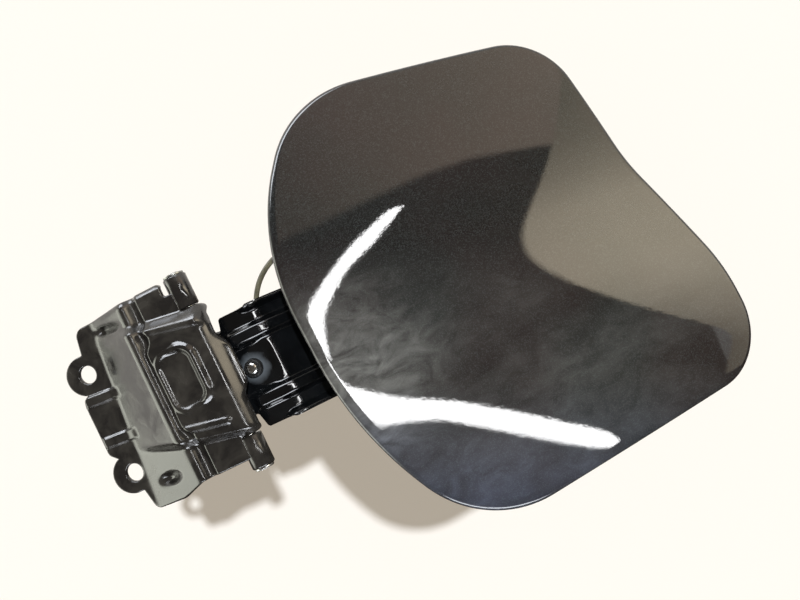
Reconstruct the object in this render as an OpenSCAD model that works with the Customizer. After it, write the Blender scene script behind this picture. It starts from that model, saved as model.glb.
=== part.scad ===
// Car fuel door on a sprung gooseneck hinge, millimetres.
// Frame: the origin is midway between the two bolt holes, on the seat of the bracket.
// +Z is the bolt axis, +X runs from the bolts to the pivot, +Y runs along the pivot.
// The door is drawn fully open, as its spring holds it.

/* [Door] */
// Length of the door, from its hinge edge to its free edge
door_len = 162; // [150:1:180]
// Height of the door, along the pivot
door_tall = 171; // [160:1:188]
// Thickness of the outer skin
skin_t = 0.8; // [0.7:0.05:1.2]
// Thickness of the inner panel
inner_t = 0.8; // [0.7:0.05:1.2]
// Crown radius of the door in both directions
crown_r = 640; // [450:10:1200]
// Radius of the folded edge
edge_r = 1.9; // [1.7:0.1:2.4]
// Width of the hem that is folded back over the inner panel
hem_w = 8; // [6:0.5:10]
// Depth of the stamped middle of the inner panel below its rim
inner_depth = 6; // [4.5:0.5:8]
// Radius of the door's corners at the hinge side
front_corner_r = 44; // [36:1:47]
// Radius of the upper corner at the free side
upper_corner_r = 26.5; // [20:0.5:34]
// Radius of the lower corner at the free side
lower_corner_r = 26.5; // [20:0.5:29]

/* [Door on the arm] */
// Distance from the pivot to the door's hinge edge, along the door
edge_reach = 30.5; // [26:0.5:38]
// Height of the door's edge above the pivot
edge_height = 28; // [26:1:32]
// Lean of the door against the bracket's seat when open
door_lean = 30; // [20:1:35]
// Cant of the door about its own length
door_cant = 8; // [0:1:10]
// How far the door's middle lies to the lower side of the pivot's middle
door_drop = 6.3; // [4:0.1:9]

/* [Hinge] */
// Distance from the bolt line to the pivot
pivot_x = 54; // [50:0.5:60]
// Height of the pivot above the seat
pivot_z = 12; // [11:0.5:14]
// Diameter of the hinge pin
pin_d = 5; // [4:0.5:6]
// Wall of the nylon bush
bush_t = 0.6; // [0.5:0.1:0.8]
// Running clearance in radius between turning parts
run_gap = 0.06; // [0.03:0.01:0.1]
// Thickness of the arm's sheet
arm_t = 1.8; // [1.5:0.1:2.2]
// Width of the arm
arm_w = 44; // [38:1:46]
// How far the arm's middle lies to the lower side of the bracket's middle
arm_drop = 4.5; // [3:0.5:6]
// Height of the two ribs along the arm
arm_rib_h = 2.4; // [1.5:0.1:3]
// How far the gooseneck dips below the pivot
neck_dip = 18; // [14:0.5:20]
// Length of the arm's foot under the door
foot_len = 46; // [36:1:56]

/* [Bracket] */
// Thickness of the bracket's sheet
bracket_t = 2.3; // [2:0.1:2.8]
// Distance between the two bolt holes
bolt_spacing = 42; // [38:0.5:46]
// Diameter of the bolt holes, for M6 bolts
bolt_hole_d = 7; // [6.4:0.1:7.5]
// Radius of the ears round the bolt holes
ear_r = 7.8; // [7:0.1:9]
// Height of the hood's deck above the seat
deck_z = 19.8; // [19.4:0.1:22]
// Room between the spring and the upper knuckle
spring_room = 6.35; // [4:0.05:8]
// Length of each rolled knuckle
knuckle_len = 12.5; // [10:0.5:13]
// Height of the beads and ribs stamped into the bracket
bead_h = 1.3; // [0.8:0.1:1.8]

/* [Spring] */
// Diameter of the spring's wire
spring_wire = 1.6; // [1.2:0.1:1.8]
// Number of turns
spring_turns = 3.5; // [2.5:1:3.5]

/* [Fittings] */
// Diameter of the rivets that hold the arm to the inner panel
rivet_d = 5; // [4:0.5:6]
// Diameter of the wire that holds the tank cap
hanger_wire = 2; // [1.6:0.1:2.4]
// Diameter of the rubber buffers
buffer_d = 9; // [7:0.5:10]
// Height of the rubber buffers
buffer_h = 6; // [4:0.5:9]
// Diameter of the stud in the arm
stud_d = 4; // [3.5:0.1:5]

/* [Hidden] */

$fn = 48;
face_gap = 0.08;
cut = 1;

// Curves

function smooth(a, b, x) =
    let (k = min(1, max(0, (x - a) / (b - a))))
    k * k * (3 - 2 * k);

// A bump one high at the middle that ends level at plus and minus one
function bump(k) = abs(k) >= 1 ? 0 : (1 + cos(180 * k)) / 2;

function unit(v) = v / norm(v);

function lerp(a, b, k) = a + (b - a) * k;

// Rounds the corner b between a and c with n steps; each corner is [x, y, radius]
function corner(a, b, c, n) =
    let (
        p = [b[0], b[1]],
        u = unit([a[0], a[1]] - p),
        w = unit([c[0], c[1]] - p),
        half = acos(u * w) / 2,
        back = b[2] / tan(half),
        mid = p + unit(u + w) * b[2] / sin(half),
        first = p + u * back - mid,
        last = p + w * back - mid,
        turn = atan2(first[0] * last[1] - first[1] * last[0], first * last)
    )
    [for (i = [0:n])
        let (g = turn * i / n)
        mid + [first[0] * cos(g) - first[1] * sin(g), first[0] * sin(g) + first[1] * cos(g)]];

// Joins a list of lists into one
function flat(l) = [for (a = l) for (b = a) b];

// Puts extra points on each straight run that is longer than step
function filled(l, step) =
    flat([for (i = [0:len(l) - 1])
        let (a = l[i], b = l[(i + 1) % len(l)], n = max(1, ceil(norm(b - a) / step)))
        [for (k = [0:n - 1]) lerp(a, b, k / n)]]);

// Outward normals of a closed outline that runs clockwise
function normals(l) =
    [for (i = [0:len(l) - 1])
        let (n = len(l), d = unit(l[(i + 1) % n] - l[(i + n - 1) % n]))
        [-d[1], d[0]]];

// A closed solid from rings of equal length, closed by a fan at both ends
module ring_solid(rings, first_mid, last_mid) {
    n = len(rings[0]);
    m = len(rings);
    points = concat(flat(rings), [first_mid, last_mid]);
    sides = [for (r = [0:m - 2]) for (i = [0:n - 1]) for (k = [0:1])
        let (j = (i + 1) % n, a = r * n, b = (r + 1) * n)
        k == 0 ? [a + i, b + j, a + j] : [a + i, b + i, b + j]];
    head = [for (i = [0:n - 1]) [m * n, i, (i + 1) % n]];
    tail = [for (i = [0:n - 1]) [m * n + 1, (m - 1) * n + (i + 1) % n, (m - 1) * n + i]];
    polyhedron(points, concat(sides, head, tail), convexity = 6);
}

// Normal of a grid of points at one of its nodes
function grid_normal(g, i, j) =
    let (
        n = len(g) - 1,
        m = len(g[0]) - 1,
        du = g[min(n, i + 1)][j] - g[max(0, i - 1)][j],
        dv = g[i][min(m, j + 1)] - g[i][max(0, j - 1)]
    )
    unit(cross(du, dv));

// A closed solid between an upper and a lower grid of points
module between(g, under) {
    n = len(g);
    m = len(g[0]);
    all = n * m;
    top = [for (i = [0:n - 2]) for (j = [0:m - 2]) for (k = [0:1])
        let (a = i * m + j, b = a + m)
        k == 0 ? [a, b + 1, b] : [a, a + 1, b + 1]];
    bottom = [for (f = top) [f[2] + all, f[1] + all, f[0] + all]];
    rim = concat(
        [for (j = [0:m - 1]) j],
        [for (i = [1:n - 1]) i * m + m - 1],
        [for (j = [m - 2:-1:0]) (n - 1) * m + j],
        [for (i = [n - 2:-1:1]) i * m]
    );
    edge = [for (q = [0:len(rim) - 1]) for (k = [0:1])
        let (a = rim[q], b = rim[(q + 1) % len(rim)])
        k == 0 ? [a, a + all, b] : [b, a + all, b + all]];
    polyhedron(concat(flat(g), flat(under)), concat(top, bottom, edge), convexity = 8);
}

// A sheet of thickness t below a grid of points whose normals point up
module sheet(g, t) {
    between(g, [for (i = [0:len(g) - 1]) [for (j = [0:len(g[0]) - 1])
        g[i][j] - grid_normal(g, i, j) * t]]);
}

// A sheet drawn from a flat blank: steep walls keep their thickness up to a limit
module drawn_sheet(g, t) {
    between(g, [for (i = [0:len(g) - 1]) [for (j = [0:len(g[0]) - 1])
        g[i][j] - [0, 0, t / max(0.4, grid_normal(g, i, j)[2])]]]);
}

// A round bar along Y at the pivot
module along_pivot(d, y0, y1) {
    translate([pivot_x, y1, pivot_z])
        rotate([90, 0, 0])
            cylinder(d = d, h = y1 - y0);
}

// Door panel

half_len = door_len / 2;
half_tall = door_tall / 2;

// Corners of the door, clockwise from the top of the hinge side: [x, y, radius]
door_corners = [
    [-half_len + 34.5, half_tall + 3.7, front_corner_r],
    [half_len - 19.5, half_tall - 11.2, upper_corner_r],
    [half_len - 16.5, half_tall - 74, 68],
    [half_len + 0.6, -half_tall + 43.3, 75],
    [half_len + 0.5, -half_tall + 2.5, lower_corner_r],
    [-half_len + 24.6, -half_tall - 1.3, front_corner_r],
    [-half_len - 1.8, -half_tall + 52.4, 128],
    [-half_len - 2.3, half_tall - 44.3, 90]
];

corner_steps = [7, 6, 4, 4, 7, 7, 4, 4];

door_outline =
    let (n = len(door_corners))
    filled(flat([for (i = [0:n - 1])
        corner(
            door_corners[(i + n - 1) % n],
            door_corners[i],
            door_corners[(i + 1) % n],
            corner_steps[i]
        )]), 16);

door_normals = normals(door_outline);

// Drop of the crowned surface below its highest point
function crown(p) = -(p[0] * p[0] + p[1] * p[1]) / (2 * crown_r);

// A ring of the door, drawn in from its outline, at a depth below the crowned surface
function door_ring(inset, depth) =
    [for (i = [0:len(door_outline) - 1])
        let (p = door_outline[i] - door_normals[i] * inset)
        [p[0], p[1], crown(p) - depth]];

// A ring that is a share of one drawn in by inset
function share_ring(share, inset, depth) =
    [for (i = [0:len(door_outline) - 1])
        let (p = (door_outline[i] - door_normals[i] * inset) * share)
        [p[0], p[1], crown(p) - depth]];

fold_depth = 2 * edge_r;
inner_r = edge_r - skin_t;

// Angles round the folded edge
fold_angles = [0:36:180];

// Puts a point of the door into the part's frame: the open door on its arm
module on_door() {
    translate([pivot_x, 0, pivot_z])
        rotate([0, door_lean, 0])
            translate([edge_reach + half_len, -door_drop, edge_height])
                rotate([-door_cant, 0, 0])
                    translate([0, 0, -crown([half_len, 0])])
                        children();
}

module outer_skin() {
    outside = [for (g = fold_angles) door_ring(edge_r * (1 - sin(g)), edge_r * (1 - cos(g)))];
    inside = [for (g = fold_angles)
        door_ring(edge_r - inner_r * sin(g), edge_r - inner_r * cos(g))];
    rings = concat(
        [for (k = [0.35, 0.7]) share_ring(k, edge_r, 0)],
        [door_ring(8, 0)],
        outside,
        [door_ring(hem_w, fold_depth)],
        [door_ring(hem_w, fold_depth - skin_t)],
        [for (i = [len(inside) - 1:-1:0]) inside[i]],
        [door_ring(8, skin_t)],
        [for (k = [0.7, 0.35]) share_ring(k, edge_r, skin_t)]
    );
    color([0.05, 0.06, 0.07])
        on_door()
            ring_solid(rings, [0, 0, 0], [0, 0, -skin_t]);
}

// Stands its children on a point of the door at height z, square to the crowned face
module on_crown(p, z) {
    translate([p[0], p[1], z])
        rotate(a = atan(norm(p) / crown_r), v = [-p[1], p[0], 0])
            children();
}

// Inner panel

rim_inset = edge_r + 0.4;
rim_depth = skin_t + face_gap;

// Where the arm's foot lies, in the door's own coordinates
foot_x0 = -half_len + 27;
foot_x1 = foot_x0 + foot_len;
foot_y = door_drop - arm_drop;

// Depth of the flat that the foot sits on, below the crown's top
foot_depth = rim_depth + inner_depth + 4;

// Middle of the latch hook's base, and the depth of the flat that it sits on
latch_spot = [half_len - 45, -9.2];
latch_depth = rim_depth + inner_depth + 2.6;

// Middle of the foot's flat, and its half sizes
foot_mid = [(foot_x0 + foot_x1) / 2, foot_y];
foot_half = [foot_len / 2 + 4, arm_w / 2 + 5];

// One inside a rectangle of half sizes a and b, falling to nothing over ease outside it
function inside(p, mid, a, b, ease) =
    smooth(a + ease, a, abs(p[0] - mid[0])) * smooth(b + ease, b, abs(p[1] - mid[1]));

// Point of the foot's rounded flat that lies in the direction of p
function foot_rim(p) =
    let (
        d = unit(p - foot_mid),
        k = pow(pow(abs(d[0]) / foot_half[0], 6) + pow(abs(d[1]) / foot_half[1], 6), -1 / 6)
    )
    foot_mid + d * k;

// The inner panel's rings: share of the outline, then share of the way to the foot's flat
rim_shares = [1, 0.935, 0.89, 0.84];
way_shares = [0, 0.24, 0.36, 0.48, 0.62, 0.8, 1];

function inner_plan(i) =
    [for (k = [0:len(door_outline) - 1])
        let (
            edge = door_outline[k] - door_normals[k] * rim_inset,
            start = edge * 0.80,
            m = len(rim_shares)
        )
        i < m ? edge * rim_shares[i]
            : i < m + len(way_shares) ? lerp(start, foot_rim(start), way_shares[i - m])
            : lerp(foot_rim(start), foot_mid, 0.5)];

inner_count = len(rim_shares) + len(way_shares) + 1;

// Height of the inner panel's upper face in ring i
function inner_z(p, i) =
    let (
        m = len(rim_shares),
        bowl = i < m ? inner_depth * smooth(0.94, 0.81, rim_shares[i]) : inner_depth,
        way = i < m ? 0 : i < m + len(way_shares) ? way_shares[i - m] : 1,
        bead = 2.4 * bump((way - 0.42) / 0.2),
        z = crown(p) - rim_depth - bowl + bead,
        latch = inside(p, latch_spot, 14, 17, 7)
    )
    lerp(lerp(z, -foot_depth, smooth(0.78, 1, way)), -latch_depth, latch);

function inner_ring(i, lower) =
    [for (p = inner_plan(i)) [p[0], p[1], inner_z(p, i) - lower]];

// Depth of the plain part of the inner panel under a point
function inner_plain(p) = crown(p) - rim_depth - inner_depth;

rivet_spots = [for (x = [foot_x0 + 9, foot_x1 - 9]) for (s = [-1, 1]) [x, foot_y + s * 13]];

latch_rivet_spots = [for (k = [-1, 1]) latch_spot + [-4, 8 * k]];

// Start of the inner panel's plain band that lies furthest in the direction d
function far_start(d) =
    let (
        starts = [for (k = [0:len(door_outline) - 1])
            (door_outline[k] - door_normals[k] * rim_inset) * 0.80],
        reach = max([for (q = starts) q * d])
    )
    [for (q = starts) if (q * d == reach) q][0];

buffer_spots = [for (d = [[1, 1], [1, -1]])
    let (start = far_start(d))
    lerp(start, foot_rim(start), 0.12)];

module rivet_holes(gap) {
    for (p = rivet_spots)
        translate([p[0], p[1], -foot_depth - 8])
            cylinder(d = rivet_d + 2 * gap, h = 16);
}

module inner_panel() {
    n = inner_count - 1;
    upper = [for (i = [n:-1:0]) inner_ring(i, 0)];
    lower = [for (i = [0:n]) inner_ring(i, inner_t)];
    mid = [foot_mid[0], foot_mid[1], -foot_depth];
    color([0.07, 0.08, 0.09])
        on_door()
            difference() {
                ring_solid(concat(upper, lower), mid, mid - [0, 0, inner_t]);
                rivet_holes(face_gap);
                for (p = latch_rivet_spots)
                    translate([p[0], p[1], -20])
                        cylinder(d = rivet_d - 1 + 2 * face_gap, h = 18);
                for (p = buffer_spots)
                    on_crown(p, inner_plain(p))
                        cylinder(d = rivet_d - 1 + 2 * face_gap, h = 8, center = true);
            }
}

// Soft dabs that keep the skin from drumming on the inner panel, where it is plain and wide
dab_spots = [for (k = [4:14:len(door_outline) - 1])
    let (start = (door_outline[k] - door_normals[k] * rim_inset) * 0.80)
    if (norm(foot_rim(start) - start) > 30) lerp(start, foot_rim(start), 0.12)];

dab_d = 6;
dab_gap = 0.22;

// Each dab stands square to the crowned face
module mastic_dabs() {
    color([0.25, 0.25, 0.27])
        on_door()
            for (p = dab_spots)
                if (min([for (q = buffer_spots) norm(q - p)]) > (dab_d + buffer_d) / 2 + 1) {
                top = crown(p) - skin_t;
                low = inner_plain(p);
                on_crown(p, (top + low) / 2)
                    cylinder(d = dab_d, h = top - low - 2 * dab_gap, center = true);
                }
}

// Arm

bush_in = pin_d / 2 + run_gap;
bush_out = bush_in + bush_t;
eye_in = bush_out + 0.02;
eye_out = eye_in + arm_t;
arm_y = -arm_drop;
eye_half = arm_w / 2 - 6;
root_z = pivot_z - eye_in - 0.12;
foot_z = -foot_depth - inner_t - face_gap;

// A point of the door's own coordinates in the part's frame
function to_frame(p) =
    let (
        z1 = p[2] - crown([half_len, 0]),
        y = -door_drop + p[1] * cos(door_cant) + z1 * sin(door_cant),
        h = edge_height - p[1] * sin(door_cant) + z1 * cos(door_cant),
        s = edge_reach + half_len + p[0]
    )
    [
        pivot_x + s * cos(door_lean) + h * sin(door_lean),
        y,
        pivot_z - s * sin(door_lean) + h * cos(door_lean)
    ];

foot_start = to_frame([foot_x0, foot_y, foot_z]);
foot_end = to_frame([foot_x1, foot_y, foot_z]);

stud_x = pivot_x + 11.3;
bend_x = pivot_x + 19;
neck_x = pivot_x + 38;

// Corners of the arm's upper face in the X and Z plane: [x, z, radius]
arm_corners = [
    [pivot_x + 0.6, root_z, 0],
    [bend_x, root_z, 12],
    [neck_x, pivot_z - neck_dip, 9],
    [foot_start[0], foot_start[2], 8],
    [foot_end[0], foot_end[2], 0]
];

function without_last(l) = [for (i = [0:len(l) - 2]) l[i]];

// The arm widens beside the eye, clear of the spring
widen_x = [pivot_x + 5.2, pivot_x + 7.2];

arm_path = without_last(filled(concat(
    [for (x = concat([arm_corners[0][0]], widen_x)) [x, root_z]],
    [for (i = [1:3]) for (q = corner(arm_corners[i - 1], arm_corners[i], arm_corners[i + 1], 4)) q],
    [[arm_corners[4][0], arm_corners[4][1]]]
), 5.2));

// The filled path runs back to its start, so only its way out is kept
arm_line = [for (i = [0:len(arm_path) - 1])
    if (i == 0 || arm_path[i][0] > arm_path[i - 1][0]) arm_path[i]];

// Stations across the arm, as offsets from its middle line
arm_across =
    let (side = [0.16, 0.34, 0.41, 0.48, 0.55, 0.62, 0.69, 0.77, 0.85, 0.92, 1])
    concat([for (i = [len(side) - 1:-1:0]) -side[i]], [0], side) * (arm_w / 2);

arm_rib_y = 0.55 * arm_w / 2;
arm_wall = 3.2;

function arm_rib(x, v) =
    let (
        on = smooth(pivot_x + 5, pivot_x + 9, x) * smooth(foot_start[0] - 2, foot_start[0] - 9, x),
        rib = arm_rib_h * bump((abs(v) - arm_rib_y) / 4.5),
        wall = arm_wall * smooth(arm_w / 2 - 3, arm_w / 2, abs(v)) * smooth(bend_x - 5, bend_x, x),
        pad = -0.9 * smooth(9, 6, norm([x - stud_x, v]))
    )
    (rib + wall) * on + pad * smooth(pivot_x + 2, pivot_x + 5, x);

function arm_half(x) =
    let (
        root = smooth(widen_x[0], widen_x[1], x),
        tip = smooth(foot_end[0] - 9, foot_end[0], x)
    )
    lerp(eye_half / (arm_w / 2), 1, root) * (1 - 0.3 * tip * tip);

arm_grid = [for (i = [0:len(arm_line) - 1])
    let (
        n = len(arm_line) - 1,
        p = arm_line[i],
        d = unit(arm_line[min(n, i + 1)] - arm_line[max(0, i - 1)]),
        k = smooth(bend_x, foot_start[0], p[0]),
        mid_y = lerp(arm_y, foot_start[1], k)
    )
    [for (v0 = arm_across)
        let (v = v0 * arm_half(p[0]), lift = arm_rib(p[0], v))
        [
            p[0] - d[1] * lift - k * v * sin(door_cant) * sin(door_lean),
            mid_y + v * lerp(1, cos(door_cant), k),
            p[1] + d[0] * lift - k * v * sin(door_cant) * cos(door_lean)
        ]]];

module hinge_arm() {
    color([0.04, 0.04, 0.05])
        difference() {
            union() {
                sheet(arm_grid, arm_t);
                along_pivot(2 * eye_out, arm_y - eye_half, arm_y + eye_half);
            }
            along_pivot(2 * eye_in, arm_y - eye_half - cut, arm_y + eye_half + cut);
            translate([stud_x, arm_y, root_z - 6])
                cylinder(d = stud_d + 2 * face_gap, h = 12);
            on_door()
                rivet_holes(face_gap);
        }
}

// A revolved pin, from points of radius and height
module turned(points) {
    rotate_extrude()
        polygon(points);
}

pad_z = root_z - 0.9;

module arm_rivets() {
    r = rivet_d / 2;
    top = -foot_depth + face_gap;
    low = foot_z - arm_t - face_gap;
    color([0.45, 0.45, 0.46])
        on_door()
            for (p = rivet_spots)
                translate([p[0], p[1], 0])
                    turned([
                        [0, low - 1.4], [3, low - 1.4], [4.2, low - 0.7], [4.2, low], [r, low],
                        [r, top], [4.4, top], [4.4, top + 0.6], [3.2, top + 1.3], [0, top + 1.3]
                    ]);
}

module arm_stud() {
    r = stud_d / 2;
    low = pad_z - arm_t - face_gap;
    color([0.75, 0.76, 0.76])
        translate([stud_x, arm_y, 0])
            turned([
                [0, low - 1.2], [3.4, low - 1.2], [3.4, low], [r, low],
                [r, pad_z + 2.9], [r - 0.4, pad_z + 3.3], [0, pad_z + 3.3]
            ]);
}

module stud_collar() {
    r = stud_d / 2 + face_gap;
    color([0.02, 0.02, 0.02])
        translate([stud_x, arm_y, 0])
            turned([
                [r, pad_z + face_gap], [r + 1.5, pad_z + face_gap], [r + 1.2, pad_z + 1.9],
                [r + 0.8, pad_z + 2.2], [r, pad_z + 2.2]
            ]);
}

// Bracket

knuckle_r = pin_d / 2 + 0.03 + bracket_t - 0.4;

// The eyes, the spring and its room lie between the middle and the upper knuckle
coil_y0 = arm_y + eye_half + 0.6 + spring_wire / 2;
coil_y1 = coil_y0 + spring_turns * (spring_wire + 0.1);
half_span = coil_y1 + spring_wire / 2 + spring_room + knuckle_len;

shoulder_y = half_span - knuckle_len - 0.6;
shoulder_z = pivot_z + knuckle_r - 0.15;
sheet_z = bracket_t - 0.1;
sheet_t = bracket_t - 0.2;
bolt_y = bolt_spacing / 2;
flange_back = -6.8;
ear_x = -1.5;

// The wall rises slantwise from its foot to its crest, and a trench parts it from the deck
crest_x = 30.3;
function wall_foot(y) = 6.5 + 0.1 * y;

// Grows from nothing below -e to u above e, with a round bend between
function eased(u, e) = u <= -e ? 0 : u >= e ? u : (u + e) * (u + e) / (4 * e);

// Where the deck steps down to the shoulders, as distances from the middle
step_ease = 2.2;
function upper_step(x) = shoulder_y + 1.2 - 0.15 * (x - 38);
function lower_step(x) = shoulder_y - 4.9 + 0.2 * (x - 38);

// Height of a bead at a distance d from its middle line
function bead(d, half_w) = bead_h * bump(d / half_w);

// Distance of a point from the line through (x0, y0) and (x1, y1)
function off_line(x, y, x0, y0, x1, y1) =
    ((x - x0) * (y1 - y0) - (y - y0) * (x1 - x0)) / norm([x1 - x0, y1 - y0]);

// Distance from a rectangle with round corners, less than nothing inside it
function off_frame(x, y, mid, half, r) =
    let (a = abs(x - mid[0]) - half[0] + r, b = abs(y - mid[1]) - half[1] + r)
    norm([max(a, 0), max(b, 0)]) + min(max(a, b), 0) - r;

frame_mid = [43.4, 3];
frame_half = [7.6, 11.4];
frame_r = 5.5;

function hood_z(x, y) =
    let (
        far = y > 0 ? upper_step(x) : lower_step(x),
        level = lerp(deck_z, shoulder_z, smooth(far - step_ease, far + step_ease, abs(y))),
        up = (eased(x - wall_foot(y), 1.8) - eased(x - crest_x, 1.6)) / (crest_x - wall_foot(y)),
        body = sheet_z + (level - sheet_z) * up,
        mid = smooth(19, 14, abs(y - 2)),
        trench = lerp(3, 1.8, mid) * bump((x - lerp(34.9, 33.3, mid)) / lerp(3.6, 1.9, mid)),
        on_deck = smooth(34, 36.5, x) * smooth(61, 57, x),
        off = off_frame(x, y, frame_mid, frame_half, frame_r),
        right = smooth(40, 49, x),
        end = 1 - smooth(40, 43, x) * smooth(-6.5, -9.5, y),
        arch = lerp(0.6, 1.4, right) * bead(off, lerp(1.8, 2.8, right)) * end,
        floor_drop = 0.6 * smooth(0, -2.5, off),
        upper = bead(off_line(x, y, 38.5, 24, 59, 19.5), 2.6),
        lower = bead(off_line(x, y, 37, -14.5, 53, -17.5), 2.4) * smooth(54.5, 52.5, x),
        upper_dimple = bump(off_line(x, y, 7, 34.5, 27, 31.5) / 2.4) * smooth(29, 19, x),
        lower_dimple = bump(norm([(x - 16) / 8, (y + 28.5) / 3.6])),
        dimples = 3.2 * (upper_dimple + lower_dimple) * smooth(0, 0.3, up),
        edge = 1.4 * smooth(half_span - 2.4, half_span + 0.3, abs(y)) * up,
        roll = 5.2 * smooth(pivot_x + 2.5, pivot_x + 9, x),
        ribs = bead_h * (smooth(2.7, 1.3, abs(y - 10.8 + 0.08 * x)) + smooth(2.7, 1.3, abs(y + 6.5 + 0.07 * x)))
            * smooth(flange_back, flange_back + 2, x) * smooth(11, 7, x)
    )
    body - trench + (arch - floor_drop + upper + lower) * on_deck - dimples - edge - roll + ribs;

lip_x = pivot_x + 6.3;
lip_nose = pivot_x + 9.3;

// Corners of the hood's blank, clockwise from the back of the upper ear: [x, y, radius]
blank_corners = [
    [flange_back, 11, 3], [-2, 15.5, 1.5], [1, 29, 1.5], [2.8, half_span, 4],
    [pivot_x - 5.5, half_span, 2], [pivot_x - 5.5, half_span - 5.5, 1],
    [pivot_x - 1.5, half_span - 5.5, 1], [pivot_x - 1.5, shoulder_y + 0.3, 0.5],
    [lip_x, shoulder_y + 0.3, 2.5], [lip_x - 0.3, 13, 5], [lip_nose - 0.2, 7, 4],
    [lip_nose, -7, 4], [lip_x, -12, 4], [lip_x, -shoulder_y - 0.3, 2.5],
    [pivot_x - 1.5, -shoulder_y - 0.3, 0.5], [pivot_x - 1.5, -half_span + 4.5, 1],
    [31, -half_span + 4.2, 6], [19, -half_span + 0.8, 8], [2.2, -half_span + 0.8, 3],
    [0.5, -29, 1.5], [-2, -15.5, 1.5], [flange_back, -11, 3]
];

module blank() {
    n = len(blank_corners);
    polygon(flat([for (i = [0:n - 1])
        corner(blank_corners[(i + n - 1) % n], blank_corners[i], blank_corners[(i + 1) % n], 4)]));
}

// Rows of the hood's grid across it, closer together where it bends
hood_rows =
    let (
        middle = [for (k = [1:10]) k / 10 * (shoulder_y - step_ease - 1)],
        steps = [for (k = [1:4]) shoulder_y - step_ease - 1 + 5.4 * k / 4],
        outer = [for (k = [1:4]) lerp(shoulder_y + 2.2, half_span + 0.5, k / 4)],
        side = concat(middle, steps, outer)
    )
    concat([for (i = [len(side) - 1:-1:0]) -side[i]], [0], side);

hood_x0 = flange_back - 0.5;
hood_x1 = lip_nose + 0.5;

// Stations along it, closer together from the crest to the frame
hood_stations = concat(
    [for (k = [0:11]) lerp(hood_x0, crest_x - 2, k / 12)],
    [for (k = [0:7]) lerp(crest_x - 2, frame_mid[0] - 5, k / 8)],
    [for (k = [0:12]) lerp(frame_mid[0] - 5, hood_x1, k / 12)]
);

hood_grid = [for (x = hood_stations) [for (y = hood_rows) [x, y, hood_z(x, y)]]];

module ear_plate(s) {
    y0 = s * bolt_y;
    linear_extrude(height = bracket_t)
        union() {
            translate([ear_x, y0])
                circle(r = ear_r);
            polygon([
                [ear_x, y0 - ear_r], [wall_foot(y0 - ear_r) + 1, y0 - ear_r],
                [wall_foot(y0 + ear_r) + 1, y0 + ear_r], [ear_x, y0 + ear_r]
            ]);
        }
}

module hinge_bracket() {
    color([0.08, 0.07, 0.06])
        difference() {
            union() {
                intersection() {
                    drawn_sheet(hood_grid, sheet_t);
                    translate([0, 0, -10])
                        linear_extrude(height = 50)
                            blank();
                }
                for (s = [-1, 1])
                    ear_plate(s);
                along_pivot(2 * knuckle_r, half_span - knuckle_len, half_span);
                along_pivot(2 * knuckle_r, -half_span, -half_span + knuckle_len);
            }
            along_pivot(pin_d + 0.06, -half_span - cut, half_span + cut);
            for (s = [-1, 1])
                translate([0, s * bolt_y, -cut])
                    cylinder(d = bolt_hole_d, h = bracket_t + 2 * cut);
        }
}

// Hinge pin and what is on it

module hinge_pin() {
    r = pin_d / 2;
    head = 0.9;
    color([0.55, 0.55, 0.56])
        translate([pivot_x, 0, pivot_z])
            rotate([90, 0, 0])
                turned([
                    [0, -half_span - 1.2], [r - 0.4, -half_span - 1.2], [r, -half_span - 0.8],
                    [r, half_span + face_gap], [r + 1.2, half_span + face_gap],
                    [r + 1.2, half_span + head - 0.3], [r + 0.9, half_span + head],
                    [0, half_span + head]
                ]);
}

// Push-on washer that keeps the pin in its knuckles
module pin_washer() {
    color([0.5, 0.5, 0.5])
        translate([pivot_x, half_span + face_gap, pivot_z])
            rotate([-90, 0, 0])
                difference() {
                    cylinder(r = pin_d / 2 + 1.4, h = 0.6);
                    translate([0, 0, -cut])
                        cylinder(r = pin_d / 2 + 0.02, h = 0.6 + 2 * cut);
                }
}

module pivot_bushes() {
    long = 9;
    color([0.8, 0.79, 0.75])
        difference() {
            union() {
                along_pivot(2 * bush_out, arm_y - eye_half + 0.1, arm_y - eye_half + long);
                along_pivot(2 * bush_out, arm_y + eye_half - long, arm_y + eye_half - 0.1);
            }
            along_pivot(2 * bush_in, arm_y - eye_half - cut, arm_y + eye_half + cut);
        }
}

// Spring

coil_r = pin_d / 2 + 0.5 + spring_wire / 2;
coil_steps = 12;
arm_leg_z = root_z - arm_t - spring_wire / 2 - 0.25;
deck_leg_z = deck_z - bracket_t - spring_wire / 2 - 0.05;

// The coil's middle line with its two legs: one under the arm, one under the hood's deck
spring_line =
    let (
        n = round(spring_turns * coil_steps),
        coil = [for (i = [0:n])
            let (a = -90 + 360 * spring_turns * i / n, y = lerp(coil_y0, coil_y1, i / n))
            [pivot_x + coil_r * cos(a), y, pivot_z + coil_r * sin(a)]]
    )
    concat(
        [
            [stud_x + 3, coil_y0 - 3.4, arm_leg_z], [pivot_x + 4.8, coil_y0 - 0.5, arm_leg_z],
            [pivot_x + 2.6, coil_y0 - 0.1, lerp(arm_leg_z, pivot_z - coil_r, 0.6)]
        ],
        coil,
        [
            [pivot_x - 4, coil_y1, lerp(deck_leg_z, pivot_z + coil_r, 0.6)],
            [pivot_x - 14, coil_y1, deck_leg_z]
        ]
    );

// A round tube along a line of points, with eight sides
module tube(line, d) {
    n = len(line) - 1;
    m = 8;
    rings = [for (i = [0:n])
        let (
            t = unit(line[min(n, i + 1)] - line[max(0, i - 1)]),
            a = unit(cross(t, [0, 1, 0])),
            b = cross(a, t)
        )
        [for (k = [0:m - 1])
            line[i] + (a * cos(360 * k / m) + b * sin(360 * k / m)) * d / 2]];
    ring_solid(rings, line[0], line[n]);
}

module opening_spring() {
    color([0.3, 0.3, 0.3])
        tube(spring_line, spring_wire);
}

// Under the door

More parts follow.
